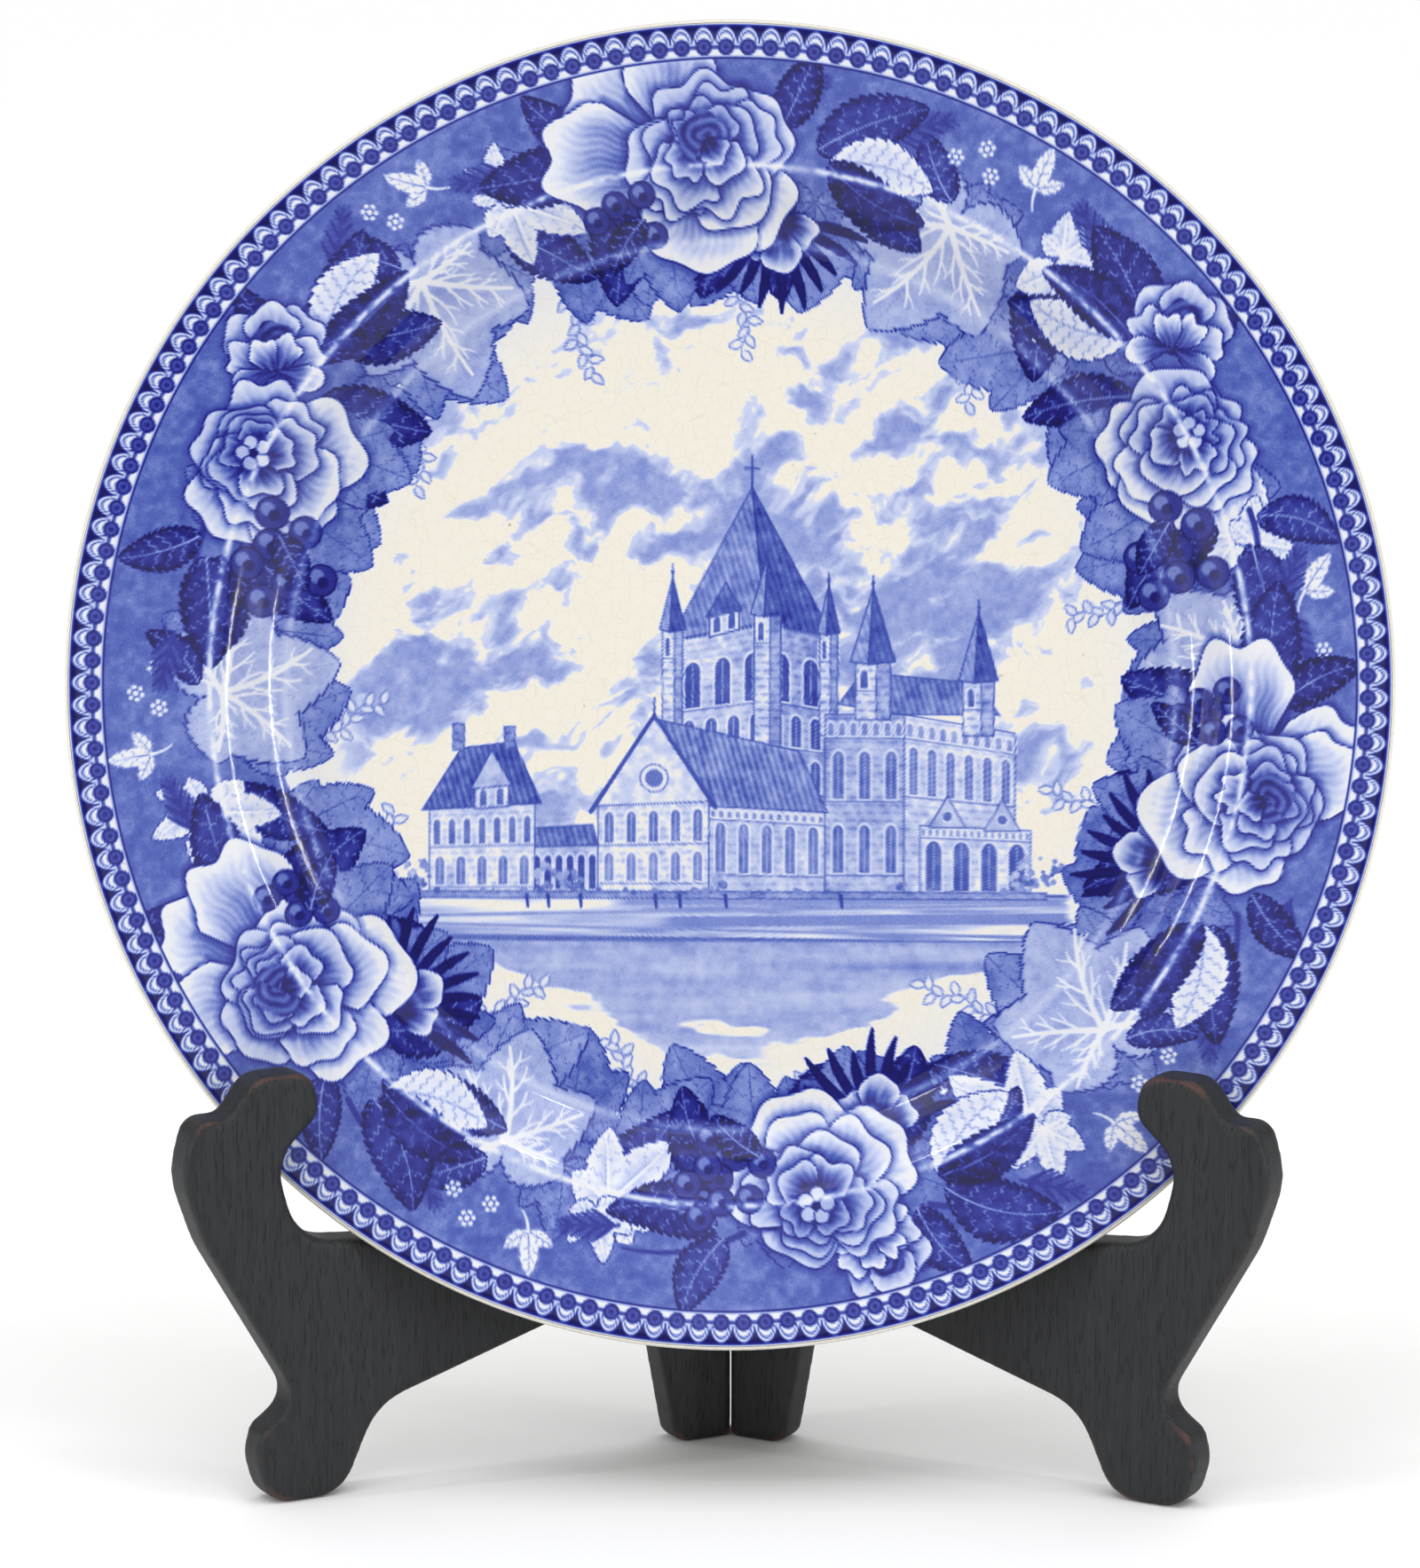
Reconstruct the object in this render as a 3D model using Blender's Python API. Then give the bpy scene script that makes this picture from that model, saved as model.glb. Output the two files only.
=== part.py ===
"""Souvenir plate on a folding stand of two hinged boards. Metres, +Z up, front towards -Y.

The plate's profile is given as (radius, height above the foot ring). The boards are drawn in
their own plane as (reach from the hinge axis, height), and open from the centre plane."""
import bpy
import bmesh
import math
import numpy as np
from mathutils import Matrix, Vector

MM = 0.001
GAP = 0.3 * MM                    # clearance between neighbouring pieces

# Plate
PLATE_RADIUS = 117.5 * MM
WELL_RADIUS = 77.0 * MM           # flat floor of the well
RIDGE_RADIUS = 93.0 * MM          # where the well's side turns into the border
FOOT_RING_RADIUS = 72.0 * MM
FOOT_RING_HEIGHT = 2.4 * MM
FOOT_RING_WIDTH = 3.0 * MM
WALL = 4.6 * MM                   # thickness of the well's floor
RIM_WALL = 3.2 * MM
WELL_DEPTH = 10.2 * MM            # floor of the well to the ridge
RIM_RISE = 5.4 * MM               # ridge to the edge
PLATE_LEAN = math.radians(12)
PLATE_EDGE_HEIGHT = 30 * MM       # lowest point of the edge above the table
PLATE_FORWARD = 40.5 * MM         # lowest point of the edge in front of the hinge axis
PLATE_SEGMENTS = 96

# Boards
BOARD_THICKNESS = 8 * MM
BOARD_SPLAY = math.radians(29)    # between a board and the plane across the front
FACE_OFFSET = 1 * MM              # hinge axis to a board's inner face
BOARD_ROUNDING = 1.3 * MM
SEAT_CLEARANCE = 0.4 * MM
POST_TOP_WIDTH = 8 * MM
REAR_LEG_WIDTH = 10 * MM
ARCH_HEIGHT = 32 * MM
FOOT_HEEL = 76.5 * MM
FOOT_TOE = 93.5 * MM
FOOT_HEIGHT = 12.5 * MM
ARM_WIDTH = 18 * MM               # seat to the outside of the arm
HOOK_HEIGHT = 30.5 * MM           # seat to the top of the knob

# Hinges
PIN_RADIUS = 1.0 * MM
KNUCKLE_RADIUS = 2.4 * MM
KNUCKLE_COUNT = 5
LEAF_THICKNESS = 0.9 * MM
LEAF_MARGIN = 2.1 * MM            # leaf's free edge to the outer end of the mitre
HINGE_BASE = 27 * MM              # table to the lower hinge
HINGE_SPACE = 14.8 * MM           # between the hinges
HINGE_BELOW_TOP = 10 * MM         # upper hinge to the top of the post
PIN_HEAD_RADIUS = 1.6 * MM
PIN_HEAD_HEIGHT = 0.8 * MM

# Screws
SCREW_END = 5 * MM                # screw to the leaf's end
SCREW_COVER = 0.6 * MM            # wood left between the pilot hole and the outer face
SCREW_HEAD_RADIUS = 1.3 * MM
SCREW_RADIUS = 0.8 * MM
SCREW_TIP = 1.5 * MM
SCREW_SLOT = 0.4 * MM


LEAF_EDGE = (FACE_OFFSET + BOARD_THICKNESS) / math.cos(BOARD_SPLAY) - LEAF_MARGIN
LEAF_START = KNUCKLE_RADIUS + GAP
SCREW_FROM_AXIS = LEAF_START + 0.45 * (LEAF_EDGE - LEAF_START)
PILOT_RADIUS = SCREW_RADIUS + GAP
OUTER_FACE = FACE_OFFSET + BOARD_THICKNESS
PILOT_REACH = OUTER_FACE - SCREW_COVER - (PILOT_RADIUS + SCREW_FROM_AXIS) * math.cos(BOARD_SPLAY)
PILOT_DEPTH = PILOT_REACH / math.sin(BOARD_SPLAY)
SCREW_LENGTH = PILOT_DEPTH - 2 * GAP


def material(name, colour, roughness, metallic=0.0):
    made = bpy.data.materials.new(name)
    made.use_nodes = True
    shader = made.node_tree.nodes["Principled BSDF"]
    shader.inputs["Base Color"].default_value = (*colour, 1)
    shader.inputs["Roughness"].default_value = roughness
    shader.inputs["Metallic"].default_value = metallic
    return made


def new_object(name, mesh, finish=None):
    made = bpy.data.objects.new(name, mesh)
    bpy.context.scene.collection.objects.link(made)
    if finish:
        mesh.materials.append(finish)
    return made


def mesh_from(name, points, faces):
    mesh = bpy.data.meshes.new(name)
    mesh.from_pydata([tuple(p) for p in points], [], faces)
    bm = bmesh.new()
    bm.from_mesh(mesh)
    bmesh.ops.recalc_face_normals(bm, faces=bm.faces)
    bm.to_mesh(mesh)
    bm.free()
    return mesh


def turned(name, profile, segments):
    """A profile of (radius, height) turned about Z; radius 0 makes a single point."""
    points, rings, faces = [], [], []
    for radius, height in profile:
        count = 1 if radius == 0 else segments
        rings.append([len(points) + i for i in range(count)])
        for i in range(count):
            turn = math.tau * i / segments
            points.append((radius * math.cos(turn), radius * math.sin(turn), height))
    for low, high in zip(rings, rings[1:]):
        for i in range(segments):
            j = (i + 1) % segments
            face = [low[i % len(low)], low[j % len(low)], high[j % len(high)], high[i % len(high)]]
            faces.append(list(dict.fromkeys(face)))
    mesh = mesh_from(name, points, faces)
    mesh.shade_smooth()
    mesh.set_sharp_from_angle(angle=math.radians(40))
    return mesh


def block(name, low, high):
    corners = [(x, y, z) for x in (low[0], high[0]) for y in (low[1], high[1]) for z in (low[2], high[2])]
    faces = [(0, 1, 3, 2), (4, 6, 7, 5), (0, 4, 5, 1), (2, 3, 7, 6), (0, 2, 6, 4), (1, 5, 7, 3)]
    return mesh_from(name, corners, faces)


def rod(name, radius, low, high, segments=24):
    return turned(name, [(0, low), (radius, low), (radius, high), (0, high)], segments)


def cutter(collection, mesh, matrix=Matrix()):
    tool = bpy.data.objects.new(mesh.name, mesh)
    collection.objects.link(tool)
    tool.matrix_world = matrix
    tool.parent = assembly
    tool.hide_render = True
    tool.display_type = "WIRE"


def tool_set(name):
    made = bpy.data.collections.new(name)
    bpy.context.scene.collection.children.link(made)
    return made


def combine(target, collection, operation):
    step = target.modifiers.new(collection.name, "BOOLEAN")
    step.operation = operation
    step.solver = "EXACT"
    step.operand_type = "COLLECTION"
    step.collection = collection


# ---- Plate ----

def plate_profile():
    floor = FOOT_RING_HEIGHT + WALL
    ridge = floor + WELL_DEPTH
    edge = ridge + RIM_RISE
    side = (RIDGE_RADIUS - WELL_RADIUS) / 16
    ring_in = FOOT_RING_RADIUS - FOOT_RING_WIDTH / 2
    ring_out = FOOT_RING_RADIUS + FOOT_RING_WIDTH / 2
    lip = 0.3 * MM
    top = [(0, floor), (WELL_RADIUS, floor), (WELL_RADIUS + 3 * side, floor + 0.6 * MM),
           (WELL_RADIUS + 6 * side, floor + 0.25 * WELL_DEPTH),
           (WELL_RADIUS + 11 * side, floor + 0.75 * WELL_DEPTH),
           (WELL_RADIUS + 13.5 * side, floor + 0.91 * WELL_DEPTH), (RIDGE_RADIUS, ridge),
           ((RIDGE_RADIUS + PLATE_RADIUS) / 2, ridge + 0.53 * RIM_RISE),
           (PLATE_RADIUS - 1.9 * MM, edge), (PLATE_RADIUS - 0.5 * MM, edge - 0.2 * MM),
           (PLATE_RADIUS, edge - 1.2 * MM)]
    under = [(PLATE_RADIUS - 0.5 * MM, edge - 2.3 * MM), (PLATE_RADIUS - 2 * MM, edge - RIM_WALL),
             (RIDGE_RADIUS, ridge - 3.8 * MM), (RIDGE_RADIUS - 3.5 * side, ridge - 5.9 * MM),
             (RIDGE_RADIUS - 10 * side, FOOT_RING_HEIGHT + 2.8 * MM),
             (WELL_RADIUS + 2 * side, FOOT_RING_HEIGHT + 1 * MM), (ring_out + 1.5 * MM, FOOT_RING_HEIGHT),
             (ring_out, lip), (ring_out - 0.5 * MM, 0), (ring_in + 0.5 * MM, 0), (ring_in, lip),
             (ring_in - 1.2 * MM, FOOT_RING_HEIGHT), (0, FOOT_RING_HEIGHT)]
    return top + under


def plate_matrix():
    """Turns the plate's axis forward and up by the lean and stands its edge at its lowest point."""
    axis = Vector((0, -math.cos(PLATE_LEAN), math.sin(PLATE_LEAN)))
    up = Vector((0, math.sin(PLATE_LEAN), math.cos(PLATE_LEAN)))
    radius, height = plate_profile()[8]
    centre = Vector((0, -PLATE_FORWARD, PLATE_EDGE_HEIGHT)) + up * radius - axis * height
    across = up.cross(axis)
    return Matrix.Translation(centre) @ Matrix((across, up, axis)).transposed().to_4x4()


def plate_section():
    """Points of the plate's skin that lie in a board's thickness, as (reach, height)."""
    turns = np.linspace(0, math.tau, 1440, endpoint=False)
    skin = []
    profile = plate_profile()
    for (r0, h0), (r1, h1) in zip(profile, profile[1:]):
        steps = max(1, int(math.hypot(r1 - r0, h1 - h0) / (0.6 * MM)))
        for share in np.arange(steps) / steps:
            radius, height = r0 + (r1 - r0) * share, h0 + (h1 - h0) * share
            skin.append(np.stack([radius * np.cos(turns), radius * np.sin(turns), np.full(1440, height)], 1))
    matrix = np.array(plate_matrix())
    skin = np.concatenate(skin) @ matrix[:3, :3].T + matrix[:3, 3]
    reach = skin[:, 0] * math.cos(BOARD_SPLAY) - skin[:, 1] * math.sin(BOARD_SPLAY)
    depth = skin[:, 0] * math.sin(BOARD_SPLAY) + skin[:, 1] * math.cos(BOARD_SPLAY)
    inside = (depth > FACE_OFFSET - GAP) & (depth < FACE_OFFSET + BOARD_THICKNESS + GAP) & (reach > 0)
    return reach[inside], skin[inside, 2]


# ---- Boards ----

def crossing(first, second):
    (a, p), (b, q) = first, second
    share = math.cos(a) * math.sin(b) - math.sin(a) * math.cos(b)
    return (p * math.sin(b) - q * math.sin(a)) / share, (q * math.cos(a) - p * math.cos(b)) / share


def board_corners():
    """Corners (reach, height, rounding) anticlockwise. The pocket's walls are straight lines, each
    pushed out along its own direction until it just clears the plate."""
    reach, height = plate_section()

    def wall(degrees):
        turn = math.radians(degrees)
        furthest = float((reach * math.cos(turn) + height * math.sin(turn)).max())
        return turn, furthest + SEAT_CLEARANCE

    back, under, floor, front = wall(-156.5), wall(-112), wall(-85), wall(-8)
    back_foot = crossing(back, under)
    seat = crossing(under, floor)
    sr, sz = crossing(floor, front)
    top = (back[1] - POST_TOP_WIDTH * math.cos(back[0])) / math.sin(back[0])
    past_centre = -BOARD_THICKNESS
    knob = sz + HOOK_HEIGHT
    elbow = sr + ARM_WIDTH
    corners = [
        (past_centre, 0, 0), (REAR_LEG_WIDTH, 0, 3), (REAR_LEG_WIDTH + 6 * MM, ARCH_HEIGHT, 9),
        (FOOT_HEEL - 6.5 * MM, FOOT_HEIGHT + 3 * MM, 12), (FOOT_HEEL + 0.5 * MM, 0, 7.5),
        (FOOT_TOE - 2 * MM, 0, 7), (FOOT_TOE + 0.2 * MM, FOOT_HEIGHT - 4 * MM, 6),
        (FOOT_TOE - 1 * MM, FOOT_HEIGHT + 1 * MM, 3.5), (FOOT_TOE - 8 * MM, FOOT_HEIGHT + 6 * MM, 9),
        (elbow, sz + 1 * MM, 24), (elbow + 4.35 * MM, sz + 13.5 * MM, 14),
        (elbow + 1.5 * MM, sz + 24 * MM, 5.5),
        (elbow - 5 * MM, sz + 23.7 * MM, 3), (sr + 8 * MM, knob, 5.5), (sr - 3.4 * MM, knob, 6),
        (sr - 4.6 * MM, knob - 8 * MM, 4), (sr + 4 * MM, sz + 15 * MM, 8), (sr, sz, 9.5), (*seat, 4),
        (*back_foot, 5), (POST_TOP_WIDTH, top, 4), (past_centre, top, 0)]
    return corners, top


def rounded(corners, steps=5):
    outline = []
    for i, (x, y, radius) in enumerate(corners):
        corner = Vector((x, y))
        if radius == 0:
            outline.append(corner)
            continue
        before = Vector(corners[i - 1][:2]) - corner
        after = Vector(corners[(i + 1) % len(corners)][:2]) - corner
        half = before.angle(after) / 2
        cut = min(radius * MM / math.tan(half), 0.49 * before.length, 0.49 * after.length)
        arc = cut * math.tan(half)
        before.normalize()
        after.normalize()
        centre = corner + (before + after).normalized() * arc / math.sin(half)
        start, end = corner + before * cut - centre, corner + after * cut - centre
        sweep = start.angle_signed(end)
        for k in range(steps + 1):
            outline.append(centre + Matrix.Rotation(-sweep * k / steps, 2) @ start)
    return outline


def build_board(name, side, corners, finish):
    """side is 1 on the right and -1 on the left."""
    outline = rounded(corners)
    count = len(outline)
    depths = (FACE_OFFSET, FACE_OFFSET + BOARD_THICKNESS)
    points = [(side * p.x, depth, p.y) for depth in depths for p in outline]
    faces = [list(range(count)), list(range(count, 2 * count))]
    faces += [[i, (i + 1) % count, count + (i + 1) % count, count + i] for i in range(count)]
    board = new_object(name, mesh_from(name, points, faces), finish)
    board.data.shade_smooth()
    board.data.set_sharp_from_angle(angle=math.radians(35))
    board.rotation_euler.z = -side * BOARD_SPLAY
    edges = board.modifiers.new("rounded_edges", "BEVEL")
    edges.width = BOARD_ROUNDING
    edges.segments = 2
    edges.limit_method = "ANGLE"
    edges.angle_limit = math.radians(50)
    return board


def board_cuts(side, heights, top):
    """The mitred end on the centre plane, the hinge gains, the barrel grooves and the pilot holes."""
    cuts = tool_set("right_cuts" if side > 0 else "left_cuts")
    reach = 4 * BOARD_THICKNESS
    ends = sorted((-side * reach, side * GAP / 2))
    cutter(cuts, block("mitre", (ends[0], -reach, -reach), (ends[1], reach, top + reach)))
    for height in heights:
        low, high = height - LEAF_HEIGHT / 2 - GAP, height + LEAF_HEIGHT / 2 + GAP
        depth = sorted((-side * MM, side * (GAP / 2 + LEAF_THICKNESS + GAP)))
        cutter(cuts, block("gain", (depth[0], 0, low), (depth[1], LEAF_EDGE + GAP, high)))
        head = PIN_HEAD_HEIGHT + GAP
        cutter(cuts, rod("groove", KNUCKLE_RADIUS + GAP, low - head, high + head))
        for offset in (-SCREW_OFFSET, SCREW_OFFSET):
            hole = rod("pilot", PILOT_RADIUS, 0, PILOT_DEPTH, 16)
            cutter(cuts, hole, screw_matrix(side, height + offset))
    return cuts


# ---- Hinges ----

def screw_matrix(side, height):
    place = Matrix.Translation((side * GAP / 2, SCREW_FROM_AXIS, height))
    return place @ Matrix.Rotation(side * math.pi / 2, 4, "Y")


def build_leaf(name, side, height, finish):
    """The leaf's flat plate, joined by webs to its knuckles, bored for the pin and countersunk."""
    bottom = height - LEAF_HEIGHT / 2
    faces = sorted((side * GAP / 2, side * (GAP / 2 + LEAF_THICKNESS)))
    flat = block(name, (faces[0], LEAF_START, bottom), (faces[1], LEAF_EDGE, bottom + LEAF_HEIGHT))
    leaf = new_object(name, flat, finish)
    added, cuts = tool_set(name + "_knuckles"), tool_set(name + "_holes")
    pitch = LEAF_HEIGHT / KNUCKLE_COUNT
    for i in range(0 if side < 0 else 1, KNUCKLE_COUNT, 2):
        low = bottom + i * pitch + (GAP / 2 if i > 0 else 0)
        high = bottom + (i + 1) * pitch - (GAP / 2 if i < KNUCKLE_COUNT - 1 else 0)
        cutter(added, rod("knuckle", KNUCKLE_RADIUS, low, high))
        cutter(added, block("web", (faces[0], PIN_RADIUS, low), (faces[1], KNUCKLE_RADIUS + 2 * GAP, high)))
    cutter(cuts, rod("bore", PIN_RADIUS + GAP, bottom - MM, bottom + LEAF_HEIGHT + MM))
    wide = SCREW_HEAD_RADIUS + GAP
    for offset in (-SCREW_OFFSET, SCREW_OFFSET):
        cone = [(0, -MM), (wide, -MM), (wide, 0),
                (PILOT_RADIUS, LEAF_THICKNESS), (PILOT_RADIUS, 2 * MM), (0, 2 * MM)]
        cutter(cuts, turned("countersink", cone, 16), screw_matrix(side, height + offset))
    combine(leaf, added, "UNION")
    combine(leaf, cuts, "DIFFERENCE")
    return leaf


def build_pin(name, height, finish):
    end = LEAF_HEIGHT / 2 + GAP
    tip = end + PIN_HEAD_HEIGHT
    crown = 0.6 * PIN_HEAD_RADIUS
    half = [(PIN_RADIUS, end), (PIN_HEAD_RADIUS, end), (PIN_HEAD_RADIUS, end + 0.5 * PIN_HEAD_HEIGHT),
            (crown, tip), (0, tip)]
    profile = [(r, -z) for r, z in reversed(half)] + half
    pin = new_object(name, turned(name, profile, 20), finish)
    pin.location.z = height
    return pin


def build_screw(name, side, height, finish):
    """Countersunk wood screw, pointing into the board, with a straight slot in its head."""
    top = 0.1 * MM
    profile = [(0, top), (SCREW_HEAD_RADIUS, top), (SCREW_RADIUS, LEAF_THICKNESS),
               (SCREW_RADIUS, SCREW_LENGTH - SCREW_TIP), (0, SCREW_LENGTH)]
    screw = new_object(name, turned(name, profile, 16), finish)
    screw.matrix_world = screw_matrix(side, height)
    slots = tool_set(name + "_slot")
    half = SCREW_SLOT / 2
    slot = block("slot", (-half, -2 * MM, -MM), (half, 2 * MM, top + 0.3 * MM))
    cutter(slots, slot, screw_matrix(side, height))
    combine(screw, slots, "DIFFERENCE")
    return screw


# ---- Assembly ----

for old in list(bpy.data.objects):
    bpy.data.objects.remove(old)

assembly = bpy.data.objects.new("assembly", None)
bpy.context.scene.collection.objects.link(assembly)
glaze = material("glazed_earthenware", (0.80, 0.80, 0.82), 0.15)
wood = material("dark_stained_wood", (0.035, 0.035, 0.038), 0.5)
brass = material("brass", (0.62, 0.46, 0.20), 0.35, 1.0)

# The leaves share out the height that the post leaves them.
corners, post_top = board_corners()
LEAF_HEIGHT = (post_top - HINGE_BASE - HINGE_SPACE - HINGE_BELOW_TOP) / 2
SCREW_OFFSET = LEAF_HEIGHT / 2 - SCREW_END
hinge_heights = {"lower": HINGE_BASE + LEAF_HEIGHT / 2, "upper": post_top - HINGE_BELOW_TOP - LEAF_HEIGHT / 2}
pieces = []

plate = new_object("plate", turned("plate", plate_profile(), PLATE_SEGMENTS), glaze)
plate.matrix_world = plate_matrix()
pieces.append(plate)

for side, hand in ((-1, "left"), (1, "right")):
    board = build_board(hand + "_board", side, corners, wood)
    combine(board, board_cuts(side, hinge_heights.values(), post_top), "DIFFERENCE")
    pieces.append(board)
    for level, height in hinge_heights.items():
        pieces.append(build_leaf(f"{level}_{hand}_leaf", side, height, brass))
        for number, offset in enumerate((-SCREW_OFFSET, SCREW_OFFSET), 1):
            pieces.append(build_screw(f"{level}_{hand}_screw_{number}", side, height + offset, brass))
for level, height in hinge_heights.items():
    pieces.append(build_pin(level + "_hinge_pin", height, brass))

for piece in pieces:
    piece.parent = assembly

# The middle of the object's box, front to back, stands over the origin.
bpy.context.view_layer.update()
graph = bpy.context.evaluated_depsgraph_get()
depths = []
for piece in pieces:
    shape = piece.evaluated_get(graph)
    depths += [(shape.matrix_world @ point.co).y for point in shape.data.vertices]
assembly.location.y = -(min(depths) + max(depths)) / 2
bpy.context.view_layer.update()
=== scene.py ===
"""Looks of the printed plate and its folding stand. The plate is turned on a lathe tree, with its
print laid on fine rings as an amount of ink for each point. The boards are carved smooth from the
frame's own solids, and the screws are set by a tree of their own."""
import math
import bpy
import bmesh
import numpy as np
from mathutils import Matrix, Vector


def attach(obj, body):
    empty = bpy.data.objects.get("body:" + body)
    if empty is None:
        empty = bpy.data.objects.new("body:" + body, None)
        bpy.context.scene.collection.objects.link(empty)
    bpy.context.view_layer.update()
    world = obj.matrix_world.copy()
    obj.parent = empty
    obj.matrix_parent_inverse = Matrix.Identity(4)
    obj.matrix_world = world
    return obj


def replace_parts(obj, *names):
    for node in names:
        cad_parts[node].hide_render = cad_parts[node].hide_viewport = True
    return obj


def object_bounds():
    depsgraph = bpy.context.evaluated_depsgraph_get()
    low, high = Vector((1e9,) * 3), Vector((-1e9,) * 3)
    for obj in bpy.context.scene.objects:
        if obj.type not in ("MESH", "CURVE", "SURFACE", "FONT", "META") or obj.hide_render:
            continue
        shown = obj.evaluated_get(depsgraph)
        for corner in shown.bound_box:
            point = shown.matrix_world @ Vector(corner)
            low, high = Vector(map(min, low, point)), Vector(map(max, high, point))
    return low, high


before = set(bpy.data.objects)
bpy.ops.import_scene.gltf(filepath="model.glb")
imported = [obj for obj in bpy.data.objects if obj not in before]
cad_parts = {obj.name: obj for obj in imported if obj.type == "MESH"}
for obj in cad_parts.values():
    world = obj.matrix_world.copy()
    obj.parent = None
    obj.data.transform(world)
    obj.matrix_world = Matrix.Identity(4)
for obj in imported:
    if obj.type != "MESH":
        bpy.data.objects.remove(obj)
cad_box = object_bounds()

MM = 0.001                       # metres

# ---- The printed pattern, in mm on the plate's face: x to the right, y up, 0 in the middle ----

def fade(distance, soft=0.24):
    """1 inside, 0 outside, over a soft edge."""
    return np.clip(distance / soft + 0.5, 0, 1)


def away(x, y, angle, far):
    """The point that lies far from (x, y) in the direction angle, in radians."""
    return x + far * math.cos(angle), y + far * math.sin(angle)


def cloud_noise(x, y, scale, seed, octaves=4):
    """Smooth noise from 0 to 1, made of random lattices of finer and finer pitch."""
    total, weight, strength = np.zeros(len(x)), 0, 1.0
    for octave in range(octaves):
        lattice = np.random.default_rng(seed + octave).random((64, 64))
        px, py = x / scale * 2 ** octave + 500.5, y / scale * 2 ** octave + 500.5
        ix, iy = np.floor(px).astype(int), np.floor(py).astype(int)
        fx, fy = px - ix, py - iy
        fx, fy = fx * fx * (3 - 2 * fx), fy * fy * (3 - 2 * fy)
        near, far = ix % 64, (ix + 1) % 64
        low = lattice[near, iy % 64] * (1 - fx) + lattice[far, iy % 64] * fx
        high = lattice[near, (iy + 1) % 64] * (1 - fx) + lattice[far, (iy + 1) % 64] * fx
        total += strength * (low * (1 - fy) + high * fy)
        weight += strength
        strength *= 0.55
    return total / weight


def lobed(length, width, middle, *pairs):
    """A leaf's blades: mirrored pairs, each (angle, share of length, share of width), then the
    middle one at its own share of the width."""
    sides = [(sign * angle, length * a, width * b) for angle, a, b in pairs for sign in (-1, 1)]
    return sides + [(0, length, width * middle)]


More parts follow.
